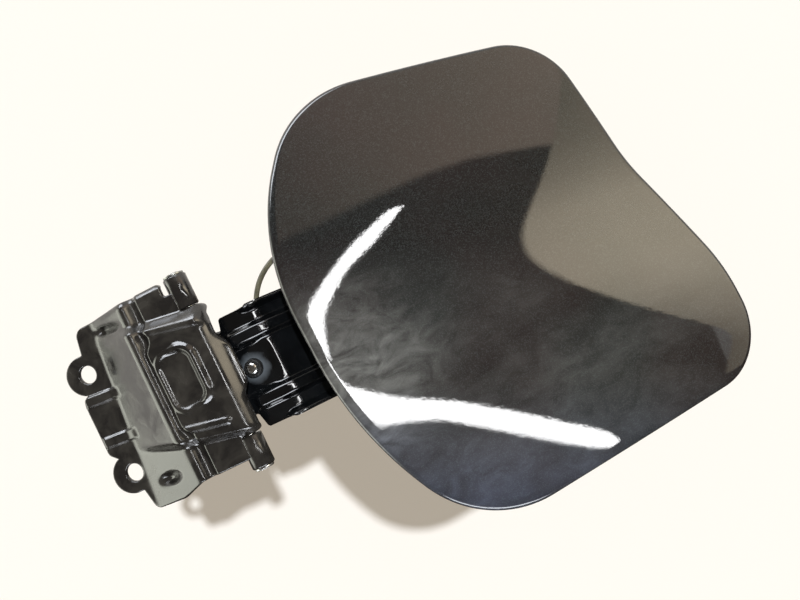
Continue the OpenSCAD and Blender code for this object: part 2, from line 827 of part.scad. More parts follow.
// Height of the underside of the arm's foot in the part's frame
function foot_under(x, y) =
    let (
        v = (y - foot_start[1]) / cos(door_cant),
        along = x + v * sin(door_cant) * sin(door_lean) - foot_start[0],
        face = foot_start[2] - along * tan(door_lean) - v * sin(door_cant) * cos(door_lean)
    )
    face - arm_t / cos(door_lean);

hanger_r = 22;
hanger_x = pivot_x + 41;
hanger_leg = 12;
hanger_y = 8;
hanger_near_z = root_z - arm_t - 1.9 - hanger_wire / 2;
hanger_tip = 3.4;
hanger_far_z = foot_under(hanger_x + hanger_r, hanger_y + 5.5) - hanger_wire / 2 - face_gap;
hanger_fall = atan((hanger_near_z - hanger_far_z) / (2 * hanger_r));

// Wire loop beside the arm that the tank's cap hangs on, welded on under the arm
module cap_hanger() {
    r = hanger_wire / 2;
    color([0.36, 0.34, 0.28])
        translate([hanger_x, hanger_y, (hanger_near_z + hanger_far_z) / 2])
            rotate([0, hanger_fall, 0]) {
                difference() {
                    rotate_extrude(angle = 180)
                        translate([hanger_r, 0])
                            circle(r = r, $fn = 24);
                    translate([0, -cut, -r - cut])
                        cube([hanger_r + r + cut, hanger_tip + cut, 2 * (r + cut)]);
                }
                translate([-hanger_r, 0.01, 0])
                    rotate([90, 0, 0])
                        cylinder(r = r, h = hanger_leg, $fn = 24);
            }
}

// Buttons that the closed door rests on, pressed into the inner panel
module rubber_buffers() {
    color([0.03, 0.03, 0.03])
        on_door()
            for (p = buffer_spots) {
                top = 0;
                low = top - inner_t - 0.2;
                on_crown(p, inner_plain(p))
                    turned([
                        [0, low - buffer_h], [buffer_d / 2 - 1.8, low - buffer_h],
                        [buffer_d / 2 - 0.9, low - buffer_h + 1], [buffer_d / 2, low],
                        [rivet_d / 2 - 0.5, low], [rivet_d / 2 - 0.5, top + 0.3],
                        [rivet_d / 2 + 0.5, top + 0.4], [rivet_d / 2 - 0.3, top + 2.6],
                        [0, top + 2.6]
                    ]);
            }
}

latch_t = 1.6;
latch_w = 17;
latch_tall = 18;
latch_back = 10;
latch_front = 9;
latch_bend = 3;
window_w = 10;
window_tall = 8;
latch_top = -latch_depth - inner_t - face_gap;

// Stamped angle with a window, which the lock's pawl enters
module latch_hook() {
    back = latch_spot[0] - latch_back;
    front = latch_spot[0] + latch_front;
    bend = latch_bend;
    color([0.62, 0.62, 0.6])
        on_door()
            difference() {
                translate([0, latch_spot[1] + latch_w / 2, latch_top])
                    rotate([90, 0, 0])
                        linear_extrude(height = latch_w)
                            difference() {
                                polygon([
                                    [back, 0], [front, 0], [front, -latch_tall],
                                    [front - latch_t, -latch_tall], [front - latch_t, -bend],
                                    [front - latch_t - bend + latch_t, -latch_t], [back, -latch_t]
                                ]);
                                difference() {
                                    translate([front - bend + 0.01, -bend])
                                        square([bend, bend + 1]);
                                    translate([front - bend, -bend])
                                        circle(r = bend);
                                }
                            }
                translate([
                    front - latch_t - cut, latch_spot[1] - window_w / 2, latch_top - latch_tall + 3
                ])
                    cube([latch_t + 2 * cut, window_w, window_tall]);
                for (p = latch_rivet_spots)
                    translate([p[0], p[1], latch_top - latch_t - cut])
                        cylinder(d = rivet_d - 1 + 2 * face_gap, h = latch_t + 2 * cut);
            }
}

module latch_rivets() {
    r = rivet_d / 2 - 0.5;
    top = -latch_depth + face_gap;
    low = latch_top - latch_t - face_gap;
    color([0.5, 0.5, 0.5])
        on_door()
            for (p = latch_rivet_spots)
                translate([p[0], p[1], 0])
                    turned([
                        [0, low - 1.1], [2.4, low - 1.1], [3.4, low - 0.6], [3.4, low], [r, low],
                        [r, top], [3.4, top], [3.4, top + 0.5], [2.6, top + 1], [0, top + 1]
                    ]);
}

outer_skin();
inner_panel();
mastic_dabs();
hinge_arm();
arm_rivets();
arm_stud();
stud_collar();
hinge_bracket();
hinge_pin();
pin_washer();
pivot_bushes();
opening_spring();
cap_hanger();
rubber_buffers();
latch_hook();
latch_rivets();
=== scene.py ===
# %% [markdown]
# # A car's fuel door, open on its gooseneck hinge
#
# The real object is a small painted panel of sheet steel on a stamped arm, with a
# spring-loaded hinge bracket that bolts to the car's body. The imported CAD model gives
# every piece its place and size. This script keeps that frame, replaces the four large
# sheet-metal pieces by finer surfaces of the same size, and gives every piece its finish.

import bmesh
import bpy
import numpy as np
from mathutils import Matrix, Vector, geometry


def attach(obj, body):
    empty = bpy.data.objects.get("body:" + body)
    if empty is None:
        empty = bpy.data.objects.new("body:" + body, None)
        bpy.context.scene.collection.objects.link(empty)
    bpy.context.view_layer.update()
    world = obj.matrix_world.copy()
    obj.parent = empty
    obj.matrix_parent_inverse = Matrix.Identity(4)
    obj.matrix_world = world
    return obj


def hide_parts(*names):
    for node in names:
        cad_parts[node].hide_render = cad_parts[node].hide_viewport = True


MM = 0.001    # sizes are written in millimetres, and Blender's unit here is the metre

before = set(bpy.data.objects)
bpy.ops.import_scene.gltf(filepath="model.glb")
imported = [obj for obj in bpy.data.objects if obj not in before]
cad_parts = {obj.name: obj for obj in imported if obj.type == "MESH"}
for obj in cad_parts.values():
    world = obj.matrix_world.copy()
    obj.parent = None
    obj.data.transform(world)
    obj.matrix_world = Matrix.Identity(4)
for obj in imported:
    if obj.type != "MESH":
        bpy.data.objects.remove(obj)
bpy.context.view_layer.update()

# %% [markdown]
# ## The camera
#
# The photograph looks almost straight down on the table, with a phone held close.
# The camera could be aimed at the part by a constraint, but its roll would still be
# missing. So it is placed by three directions: one that points from the part back to the
# lens, 12 degrees off the bolt axis, and two that a roll of 25.7 degrees gives across it.
# They serve again for the walls in the mirror. A lens of 45 mm on a 36 mm sensor gives
# the photograph's angle of view.

# %% Place the camera
lens_mm, sensor_mm = 45.0, 36.0
tilt, roll = np.radians(12.0), np.radians(25.71)
back = np.array([np.sin(tilt), 0.0, np.cos(tilt)])
flat_x = np.array([np.cos(tilt), 0.0, -np.sin(tilt)])
flat_y = np.array([0.0, 1.0, 0.0])
right = flat_x * np.cos(roll) - flat_y * np.sin(roll)
up = flat_x * np.sin(roll) + flat_y * np.cos(roll)
looked_at, lens_distance = np.array([124.21, -5.34, 0.0]) * MM, 364.22 * MM
lens_place = looked_at + back * lens_distance

camera_data = bpy.data.cameras.new("photo_camera")
camera_data.lens = lens_mm
camera_data.sensor_width = sensor_mm
camera_data.clip_start = 0.01
camera = bpy.data.objects.new("photo_camera", camera_data)
turn = Matrix(np.column_stack([right, up, back]).tolist()).to_4x4()
camera.matrix_world = Matrix.Translation(Vector(lens_place)) @ turn
bpy.context.scene.collection.objects.link(camera)
bpy.context.scene.camera = camera
print("camera at", lens_place.round(3), "metres")

# %% [markdown]
# ## Helpers for surfaces
#
# The four large pieces could be modelled by hand, but then each would have to be
# measured against the CAD model. Here every new piece is a surface worked out with
# numpy from the same sizes. Its points are a grid of rows, and each row has the same
# number of points. The faces only depend on the size of that grid, so one helper can
# knit them for all pieces.

# %% Knit a grid of rows into a mesh
def knit(rows, columns, rows_meet=False, columns_meet=True):
    """Quads of a grid: point (i, j) is joined to its neighbours in row i + 1 and column
    j + 1, and the last row or column is joined to the first one where they meet."""
    i, j = np.meshgrid(np.arange(rows if rows_meet else rows - 1),
                       np.arange(columns if columns_meet else columns - 1), indexing="ij")
    n, k = (i + 1) % rows, (j + 1) % columns
    corners = [i * columns + j, i * columns + k, n * columns + k, n * columns + j]
    return np.stack(corners, -1).reshape(-1, 4)


def fan(row, middle, columns):
    """Triangles from the closed loop in a row to one middle point."""
    j = np.arange(columns)
    corners = [row * columns + j, row * columns + (j + 1) % columns, np.full(columns, middle)]
    return np.stack(corners, -1)


def mesh_piece(name, body, parts, stands_for, sharp_above=32.0):
    """Makes one object from closed parts, each of points in metres and lists of faces,
    with all faces turned outwards. Edges that turn more than sharp_above degrees stay
    crisp."""
    points, faces, start = [], [], 0
    for part_points, part_faces in parts:
        points.append(part_points.reshape(-1, 3))
        faces += [(np.asarray(face) + start).tolist() for group in part_faces for face in group]
        start += len(points[-1])
    mesh = bpy.data.meshes.new(name)
    mesh.from_pydata(np.concatenate(points).tolist(), [], faces)
    shell = bmesh.new()
    shell.from_mesh(mesh)
    bmesh.ops.recalc_face_normals(shell, faces=shell.faces)
    shell.to_mesh(mesh)
    shell.free()
    mesh.shade_smooth()
    mesh.set_sharp_from_angle(angle=np.radians(sharp_above))
    piece = bpy.data.objects.new(name, mesh)
    bpy.context.scene.collection.objects.link(piece)
    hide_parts(*stands_for)
    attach(piece, body)
    print(f"{name}: {len(mesh.vertices)} points, {len(mesh.polygons)} faces")
    return piece


def smooth(a, b, x):
    """Rises from 0 at a to 1 at b as 3k^2 - 2k^3, and works downwards where b is less
    than a."""
    k = np.clip((np.asarray(x, float) - a) / (b - a), 0.0, 1.0)
    return k * k * (3.0 - 2.0 * k)


def bump(k):
    """A bump one high at 0 that ends level at -1 and 1: half of 1 plus a cosine."""
    k = np.clip(np.abs(k), 0.0, 1.0)
    return (1.0 + np.cos(np.pi * k)) / 2.0


print("quads of a tube with 3 rings of 8 points:", len(knit(3, 8)))

# %% [markdown]
# ## The outline of the door
#
# The door's edge is a closed line with eight rounded corners, wide at the hinge side
# and waisted at the free side. A rectangle with a Bevel modifier would give all corners
# one radius. So the corners are listed with a radius each, as a stylist would draw them,
# and arcs join the straight runs.

# %% Round the corners of an outline
def fillet(a, b, c, step):
    """The arc of radius b[2] that touches the lines from b to a and from b to c, with
    points about step apart."""
    a, b, c = (np.asarray(v, float) for v in (a, b, c))
    u, w = a[:2] - b[:2], c[:2] - b[:2]
    u, w = u / np.linalg.norm(u), w / np.linalg.norm(w)
    half = np.arccos(u @ w) / 2
    centre = b[:2] + (u + w) / np.linalg.norm(u + w) * b[2] / np.sin(half)
    first, last = (b[:2] + s * b[2] / np.tan(half) - centre for s in (u, w))
    sweep = np.arctan2(first[0] * last[1] - first[1] * last[0], first @ last)
    g = np.linspace(0.0, sweep, max(4, int(abs(sweep) * b[2] / step) + 1))[:, None]
    return centre + first * np.cos(g) + np.array([-first[1], first[0]]) * np.sin(g)


def joined(arcs, step, closed):
    """One line through all arcs, with points about step apart on the straight runs
    between them."""
    line = []
    for arc, following in zip(arcs, arcs[1:] + (arcs[:1] if closed else [])):
        run = following[0] - arc[-1]
        n = max(1, int(np.linalg.norm(run) / step))
        line += [arc, arc[-1] + run * np.linspace(0, 1, n + 1)[1:-1, None]]
    return np.concatenate(line if closed else line + [arcs[-1]])


def rounded(corners, step):
    """Closed outline through corners (x, y, radius), each one rounded by its fillet."""
    n = len(corners)
    arcs = [fillet(corners[i - 1], corners[i], corners[(i + 1) % n], step) for i in range(n)]
    return joined(arcs, step, True)


def outward(line):
    """Unit normals of a closed outline that runs clockwise, square to the line from the
    point before to the point after."""
    d = np.roll(line, -1, 0) - np.roll(line, 1, 0)
    d /= np.linalg.norm(d, axis=1)[:, None]
    return np.column_stack([-d[:, 1], d[:, 0]])


half_len, half_tall = 81.0, 85.5
door_outline = rounded([
    (-half_len + 34.5, half_tall + 3.7, 44),
    (half_len - 19.5, half_tall - 11.2, 26.5),
    (half_len - 16.5, half_tall - 74, 68),
    (half_len + 0.6, -half_tall + 43.3, 75),
    (half_len + 0.5, -half_tall + 2.5, 26.5),
    (-half_len + 24.6, -half_tall - 1.3, 44),
    (-half_len - 1.8, -half_tall + 52.4, 128),
    (-half_len - 2.3, half_tall - 44.3, 90),
], 1.6)
door_out = outward(door_outline)
print("points round the door:", len(door_outline))

# %% [markdown]
# ## From the door to the part's frame
#
# The door's own coordinates have their origin on its crown, with x away from the
# hinge and z out of the car. The open door leans by 30 degrees on its arm and is
# canted by 8 degrees. It could be modelled flat and its object turned, but a finished
# piece keeps its place in its mesh, so one function carries all its points to the
# common frame.

# %% Carry points of the door to the common frame
pivot = np.array([54.0, 0.0, 12.0])
lean, cant = np.radians(30.0), np.radians(8.0)
edge_reach, edge_height, door_drop, crown_r = 30.5, 28.0, 6.3, 640.0


def crown(p):
    """Drop of the crowned face below its highest point: minus the squared distance over
    twice the crown's radius."""
    return -(p[..., 0] ** 2 + p[..., 1] ** 2) / (2.0 * crown_r)


def to_frame(p):
    """Cants a point about the door's length, lifts it to the arm's height, leans it about
    the pivot, and turns millimetres to metres."""
    z = p[..., 2] + half_len ** 2 / (2.0 * crown_r)
    y = -door_drop + p[..., 1] * np.cos(cant) + z * np.sin(cant)
    h = edge_height - p[..., 1] * np.sin(cant) + z * np.cos(cant)
    s = edge_reach + half_len + p[..., 0]
    x = pivot[0] + s * np.cos(lean) + h * np.sin(lean)
    return np.stack([x, y, pivot[2] - s * np.sin(lean) + h * np.cos(lean)], -1) * MM


def closed_stack(rings, first_middle, last_middle):
    """A closed surface of the door: a stack of rings, shut by a fan to a middle point at
    each end, in the common frame."""
    count, width = rings.shape[:2]
    points = np.concatenate([rings.reshape(-1, 3), [first_middle, last_middle]])
    first_fan = fan(0, count * width, width)
    last_fan = fan(count - 1, count * width + 1, width)
    return to_frame(points), [knit(count, width), first_fan, last_fan]


print("crown of the door in metres:", to_frame(np.zeros(3)).round(4))

# %% [markdown]
# ## The outer skin
#
# The skin is one pressing of 0.8 mm steel. Its edge is folded flat over the inner
# panel, which is called a hem, and that gives the panel its round bright rim. A
# Solidify modifier would give a curved sheet its thickness, but not this fold. So the
# whole closed surface is a stack of rings: from the middle of the crown to the edge,
# round the fold, along the hem, and back inside the fold to the middle of the hidden
# face.

# %% Build the outer skin
skin_t, edge_r, hem_w = 0.8, 1.9, 8.0
tuck = 0.12    # the fold stays this far inside the CAD model's outline


def skin_profile():
    """Insets, depths and shares of the rings: the face, half a circle of the fold's
    radius, the hem with its softened end, and the same back on the inside."""
    face = np.linspace(0.012, 1.0, 46)[:-1]
    fold = np.linspace(0.0, np.pi, 19)
    hem = np.linspace(edge_r + 0.6, hem_w - 0.15, 6)
    inner_r, hem_z = edge_r - skin_t, 2 * edge_r
    inside = fold[::-1]
    runs = [
        (edge_r, 0.0, face),
        (edge_r - (edge_r - tuck) * np.sin(fold), edge_r * (1 - np.cos(fold)), 1.0),
        (hem, hem_z, 1.0),
        (hem_w, np.array([hem_z - 0.15, hem_z - skin_t + 0.1]), 1.0),
        (hem[::-1], hem_z - skin_t, 1.0),
        (edge_r - (inner_r - tuck) * np.sin(inside), edge_r - inner_r * np.cos(inside), 1.0),
        (edge_r, skin_t, face[::-1]),
    ]
    return [np.concatenate(v) for v in zip(*(np.broadcast_arrays(*run) for run in runs))]


def door_rings(inset, depth, share):
    """Rings of the door: the outline moved in by inset, drawn towards the middle by
    share, and set depth below the crowned face."""
    inset, depth, share = (v[:, None, None] for v in (inset, depth, share))
    plan = (door_outline - door_out * inset) * share
    return np.concatenate([plan, crown(plan)[..., None] - depth], -1)


skin = closed_stack(door_rings(*skin_profile()), [0.0, 0.0, 0.0], [0.0, 0.0, -skin_t])
painted_skin = mesh_piece("painted_skin", "door", [skin], ["outer_skin"])

# %% [markdown]
# ## The inner panel
#
# Under the skin lies a second pressing that stiffens it. It is drawn down like a shallow
# tray, has a raised bead round a flat where the arm is riveted on, and a small flat for
# the latch hook. It could be carved out of a copy of the skin, but a press draws the
# sheet evenly from one outline to the other. So its surface is again a stack of rings,
# and they travel from the door's outline to the round-cornered outline of the arm's flat.

# %% Build the inner panel
inner_t, face_gap, inner_depth, panel_bead = 0.8, 0.08, 6.0, 2.4
rim_inset, rim_depth = edge_r + 0.4, skin_t + face_gap
foot_mid, foot_half = np.array([-31.0, 1.8]), np.array([27.0, 27.0])
foot_depth = rim_depth + inner_depth + 4.0
latch_spot, latch_depth = np.array([half_len - 45.0, -9.2]), rim_depth + inner_depth + 2.6


def foot_rim(p):
    """Point in the direction of p on a superellipse of power 6, which is a rectangle
    with round corners."""
    d = (p - foot_mid) / np.linalg.norm(p - foot_mid, axis=-1)[..., None]
    k = ((np.abs(d) / foot_half) ** 6).sum(-1) ** (-1 / 6)
    return foot_mid + d * k[..., None]


def inner_height(p, share, way):
    """Height of the panel's upper face: the crown, less the tray, plus the bead, blended
    into the two flats."""
    tray = inner_depth * smooth(0.94, 0.81, share)
    z = crown(p) - rim_depth - tray + panel_bead * bump((way - 0.42) / 0.2)
    away = np.abs(p - latch_spot)
    latch = smooth(21, 14, away[..., 0]) * smooth(24, 17, away[..., 1])
    z = z + (-foot_depth - z) * smooth(0.78, 1.0, way)
    return z + (-latch_depth - z) * latch


tray_share = 0.80    # size of the tray's floor, as a share of the door's outline
wall_rings, floor_rings, flat_rings = 26, 72, 16
edge_line = (door_outline - door_out * rim_inset)[::2]
tray_line = edge_line * tray_share
shares = np.concatenate([np.linspace(1.0, tray_share + 0.01, wall_rings),
                         np.full(floor_rings + flat_rings, tray_share)])
ways = np.concatenate([np.zeros(wall_rings), np.linspace(0.0, 1.0, floor_rings),
                       np.ones(flat_rings)])
inward = np.concatenate([np.zeros(wall_rings + floor_rings),
                         np.linspace(0.0, 0.985, flat_rings + 1)[1:]])
plan = edge_line * shares[:, None, None]
plan = plan + (foot_rim(tray_line) - plan) * ways[:, None, None]
plan = plan + (foot_mid - plan) * inward[:, None, None]
height = inner_height(plan, shares[:, None], ways[:, None])
upper = np.concatenate([plan, height[..., None]], -1)
lower = upper - np.array([0.0, 0.0, inner_t])
tray = closed_stack(np.concatenate([upper[::-1], lower]),
                    [*foot_mid, -foot_depth], [*foot_mid, -foot_depth - inner_t])
tray_panel = mesh_piece("tray_panel", "door", [tray], ["inner_panel"], 40.0)

# %% [markdown]
# ## The gooseneck arm
#
# The arm is a strip of 1.8 mm steel. It leaves the pivot level, dips under the edge of
# the body's opening and comes up again under the door. Two ribs pressed along it and two
# turned-up edges make it stiff. A curve with a bevel profile could carry a strip, but
# not ribs that start and end along it. So one function gives the height of ribs and
# edges above the strip, another bends the strip along its path, and a closed loop round
# the strip's section at each station makes the piece.

# %% The arm's path
arm_t, arm_y, arm_half, eye_half, eye_in = 1.8, -4.5, 22.0, 16.0, 3.18
root_z = pivot[2] - eye_in - 0.12
bend_x, stud_x = pivot[0] + 19.0, pivot[0] + 11.3
foot_z, foot_reach, path_step = -foot_depth - inner_t - face_gap, 23.0, 0.6
foot_start, foot_end = (
    to_frame(np.array([foot_mid[0] + side * foot_reach, foot_mid[1], foot_z])) / MM
    for side in (-1, 1))
arm_corners = [
    (pivot[0] + 0.6, root_z, 0),
    (bend_x, root_z, 12),
    (pivot[0] + 38.0, pivot[2] - 18.0, 9),
    (foot_start[0], foot_start[2], 8),
    (foot_end[0], foot_end[2], 0),
]
bends = [fillet(*arm_corners[i - 1:i + 2], path_step) for i in (1, 2, 3)]
ends = [np.array([corner[:2]]) for corner in (arm_corners[0], arm_corners[-1])]
arm_path = joined([ends[0], *bends, ends[1]], path_step, False)
print("stations along the arm:", len(arm_path))


# %% Build the arm
def arm_lift(x, v):
    """Height above the strip: two flat-topped ribs 12.1 mm off the middle, edges that
    turn up past 19 mm, and a square dish round the stud."""
    on = smooth(59, 63, x) * smooth(foot_start[0] - 2, foot_start[0] - 9, x)
    rib = 2.4 * smooth(4.1, 1.2, np.abs(np.abs(v) - 12.1))
    wall = 3.2 * smooth(arm_half - 3, arm_half, np.abs(v)) * smooth(bend_x - 5, bend_x, x)
    off_stud = (((x - stud_x) / 8.0) ** 4 + (v / 8.0) ** 4) ** 0.25
    return (rib + wall) * on - 1.2 * smooth(1.2, 0.8, off_stud) * smooth(56, 59, x)


def arm_surface(v0):
    """Points of the strip's upper face at offsets v0 across it: the path, widened from
    the eyes, raised along its normal, and canted towards the door."""
    x, z = arm_path[:, :1], arm_path[:, 1:]
    d = np.gradient(arm_path, axis=0)
    d /= np.linalg.norm(d, axis=1)[:, None]
    half = eye_half / arm_half + (1 - eye_half / arm_half) * smooth(59.2, 61.2, x)
    half = half * (1 - 0.3 * smooth(foot_end[0] - 9, foot_end[0], x) ** 2)
    k = smooth(bend_x, foot_start[0], x)
    v = v0[None] * half
    lift = arm_lift(x, v)
    return np.stack([
        x - d[:, 1:] * lift - k * v * np.sin(cant) * np.sin(lean),
        arm_y + (foot_start[1] - arm_y) * k + v * (1 + (np.cos(cant) - 1) * k),
        z + d[:, :1] * lift - k * v * np.sin(cant) * np.cos(lean),
    ], -1)


def section_loop(half, t, n, soft=0.35):
    """Offsets across a strip and depths below its face, once round its section, with
    softened edges."""
    across = np.linspace(-half + soft, half - soft, n)
    v = np.concatenate([across, [half - soft * 0.3, half, half, half - soft * 0.3]])
    depth = np.concatenate([np.zeros(n), [soft * 0.3, soft, t - soft, t - soft * 0.3]])
    return np.concatenate([v, -v]), np.concatenate([depth, t - depth])


def tube_along_pivot(outer, inner, y0, y1, soft=0.3, steps=72):
    """A tube round the pivot: a rectangle of radii and y values with softened corners,
    turned about the pivot."""
    r, y = np.array([
        (inner, y0 + soft), (inner + soft, y0), (outer - soft, y0), (outer, y0 + soft),
        (outer, y1 - soft), (outer - soft, y1), (inner + soft, y1), (inner, y1 - soft),
    ]).T
    g = np.linspace(0, 2 * np.pi, steps, endpoint=False)[:, None]
    points = np.stack([pivot[0] + r * np.cos(g), y + g * 0, pivot[2] + r * np.sin(g)], -1)
    return points * MM, [knit(steps, len(r), True)]


loop_v, loop_depth = section_loop(arm_half, arm_t, 120)
face_points = arm_surface(loop_v)
along = np.gradient(face_points, axis=0)
across = arm_surface(loop_v + 0.05) - arm_surface(loop_v - 0.05)
normal = np.cross(along, across)
normal /= np.linalg.norm(normal, axis=-1)[..., None]
normal *= np.sign(normal[..., 2:])
strip = (face_points - normal * loop_depth[None, :, None]) * MM
count, width = strip.shape[:2]
j = np.arange(width // 2 - 1)
cap = np.stack([j, j + 1, width - 2 - j, width - 1 - j], -1)
strip_faces = [knit(count, width), cap, cap + (count - 1) * width]
eyes = tube_along_pivot(eye_in + arm_t, eye_in, arm_y - eye_half, arm_y + eye_half)
gooseneck = mesh_piece(
    "gooseneck_arm", "door", [(strip, strip_faces), eyes], ["hinge_arm"])

# %% [markdown]
# ## The hinge bracket
#
# The bracket is one deep stamping: two flat ears with the bolt holes, a sloping wall, a
# hood over the spring with beads for stiffness, a lip that turns down over the arm, and
# a rolled knuckle at each end for the pin. Its height above the seat is one function of
# x and y, so the sheet could be a grid. But its outline is a free shape with holes, so
# the plan is first filled with small triangles that fit the outline, and then raised.

# %% Height of the stamping
sheet_z, sheet_t = 2.2, 2.1
knuckle_r, half_span, knuckle_len, deck_z = 4.43, 38.5, 12.5, 19.8
shoulder_y, shoulder_z = half_span - knuckle_len - 0.6, pivot[2] + knuckle_r - 0.15
flange_back, bead_h = -6.8, 1.3
boss_mid, boss_half, boss_r = (43.4, 3.0), (7.6, 11.4), 5.5


def off_line(x, y, x0, y0, x1, y1):
    """Distance from the line through (x0, y0) and (x1, y1)."""
    return ((x - x0) * (y1 - y0) - (y - y0) * (x1 - x0)) / np.hypot(x1 - x0, y1 - y0)


def eased(u, e):
    """Nothing below -e, u above e, and (u + e)^2 / 4e in the round bend between."""
    return np.where(u <= -e, 0.0, np.where(u >= e, u, (u + e) ** 2 / (4.0 * e)))


def off_boss(x, y):
    """Distance from the rectangle with round corners in the middle of the deck, less
    than 0 inside: the length of what lies past its core, less the corner's radius."""
    a = np.abs(x - boss_mid[0]) - boss_half[0] + boss_r
    b = np.abs(y - boss_mid[1]) - boss_half[1] + boss_r
    past = np.hypot(np.maximum(a, 0), np.maximum(b, 0))
    return past + np.minimum(np.maximum(a, b), 0) - boss_r


def hood_height(x, y):
    """The sheet's upper face: a straight wall from its foot to the crest, a trench, the
    deck that steps down to the shoulders, cosine beads, a frame round the boss, dimples,
    ribs between the ears and a lip that rolls down."""
    foot, crest = 6.5 + 0.1 * y, 30.3
    step_y = shoulder_y + np.where(y > 0, 1.2 - 0.15 * (x - 38), -4.9 + 0.2 * (x - 38))
    level = deck_z + (shoulder_z - deck_z) * smooth(step_y - 2.2, step_y + 2.2, np.abs(y))
    climbed = (eased(x - foot, 1.8) - eased(x - crest, 1.6)) / (crest - foot)
    body = sheet_z + (level - sheet_z) * climbed
    mid = smooth(19, 14, np.abs(y - 2))
    trench = (3 - 1.2 * mid) * bump((x - 34.9 + 1.6 * mid) / (3.6 - 1.7 * mid))
    off, lip_side = off_boss(x, y), smooth(40, 49, x)
    ends = 1 - smooth(40, 43, x) * smooth(-6.5, -9.5, y)
    arch = (0.6 + 0.8 * lip_side) * bead_h * bump(off / (1.8 + lip_side)) * ends
    upper = bead_h * bump(off_line(x, y, 38.5, 24, 59, 19.5) / 2.6)
    lower = bead_h * bump(off_line(x, y, 37, -14.5, 53, -17.5) / 2.4) * smooth(54.5, 52.5, x)
    beads = arch - 0.6 * smooth(0, -2.5, off) + upper + lower
    beads = beads * smooth(34, 36.5, x) * smooth(61, 57, x)
    upper_dimple = bump(off_line(x, y, 7, 34.5, 27, 31.5) / 2.4) * smooth(29, 19, x)
    lower_dimple = bump(np.hypot((x - 16) / 8, (y + 28.5) / 3.6))
    dimples = 3.2 * (upper_dimple + lower_dimple) * smooth(0, 0.3, climbed)
    edge = 1.4 * smooth(half_span - 2.4, half_span + 0.3, np.abs(y)) * climbed
    roll_down = 5.2 * smooth(pivot[0] + 2.5, pivot[0] + 9, x)
    upper_rib = smooth(2.7, 1.3, np.abs(y - 10.8 + 0.08 * x))
    lower_rib = smooth(2.7, 1.3, np.abs(y + 6.5 + 0.07 * x))
    ribs = bead_h * (upper_rib + lower_rib)
    ribs = ribs * smooth(flange_back, flange_back + 2, x) * smooth(11, 7, x)
    return body - trench + beads - dimples - edge - roll_down + ribs


print("hood above the pivot in mm:", hood_height(np.array([pivot[0]]), np.array([0.0])).round(2))


# %% Helpers for the plan
def circle(x, y, r, n):
    """Closed ring of n points at the distance r from (x, y), clockwise."""
    g = -np.linspace(0, 2 * np.pi, n, endpoint=False)
    return np.column_stack([x + r * np.cos(g), y + r * np.sin(g)])


def away_from(p, line, nxt):
    """Distance of each point to the nearest of the segments from line to nxt, worked out
    for all pairs."""
    d = nxt - line
    rel = p[:, None] - line[None]
    k = np.clip((rel * d).sum(-1) / (d * d).sum(-1), 0, 1)
    return np.linalg.norm(rel - k[..., None] * d, axis=-1).min(1)


def within(p, lines):
    """True for points inside any of the closed lines: a ray to +x crosses such a line an
    odd number of times."""
    inside = np.zeros(len(p), bool)
    y = p[:, 1:2]
    for line in lines:
        a, b = line, np.roll(line, -1, 0)
        crosses = (a[:, 1] > y) != (b[:, 1] > y)
        with np.errstate(divide="ignore", invalid="ignore"):
            at = a[:, 0] + (y - a[:, 1]) * (b[:, 0] - a[:, 0]) / (b[:, 1] - a[:, 1])
        inside |= (crosses & (p[:, 0:1] < at)).sum(1) % 2 == 1
    return inside


print("a circle's middle is inside it:", within(np.zeros((1, 2)), [circle(0, 0, 1, 64)])[0])

# %% The outlines of hood, ears and bolt holes
step_in, ear_x, ear_y, ear_r, bolt_r = shoulder_y + 0.3, -1.5, 21.0, 7.8, 3.5
hood_plan = rounded([
    (flange_back, 11, 3), (-2, 15.5, 1.5), (1, 29, 1.5), (2.8, half_span, 4),
    (48.5, half_span, 2), (48.5, half_span - 5.5, 1), (52.5, half_span - 5.5, 1),
    (52.5, step_in, 0.5), (60.3, step_in, 2.5), (60.0, 13, 5), (63.1, 7, 4), (63.3, -7, 4),
    (60.3, -12, 4), (60.3, -step_in, 2.5), (52.5, -step_in, 0.5), (52.5, 4.5 - half_span, 1),
    (31, 4.2 - half_span, 6), (19, 0.8 - half_span, 8), (2.2, 0.8 - half_span, 3),
    (0.5, -29, 1.5), (-2, -15.5, 1.5), (flange_back, -11, 3),
], 0.6)
plans, bolt_rings = [hood_plan], []
for middle_y in (-ear_y, ear_y):
    low_y, high_y = middle_y - ear_r, middle_y + ear_r
    plans.append(circle(ear_x, middle_y, ear_r, 96))
    plans.append(rounded([
        (ear_x, high_y, 0.2), (7.3 + 0.1 * high_y, high_y, 0.2),
        (7.3 + 0.1 * low_y, low_y, 0.2), (ear_x, low_y, 0.2)], 0.8))
    bolt_rings.append(circle(0, middle_y, bolt_r, 64))
print("outlines:", len(plans), "and bolt holes:", len(bolt_rings))

# %% Fill the plan with rows of points along the outlines, a fine grid and triangles
cell = 0.62
gx, gy = np.meshgrid(np.arange(-9.5, 64, cell), np.arange(-38.6, 38.7, cell), indexing="ij")
gx = gx + cell / 2 * (np.round(gy / cell) % 2)
grid = np.column_stack([gx.ravel(), gy.ravel()])
grid = grid[within(grid, plans) & ~within(grid, bolt_rings)]
near_rows = [line - outward(line) * d for line in plans for d in (0.18, 0.42, 0.75)]
near_rows += [line + outward(line) * d for line in bolt_rings for d in (0.18, 0.42)]
for line in plans + near_rows + bolt_rings:
    grid = grid[away_from(grid, line, np.roll(line, -1, 0)) > 0.16]

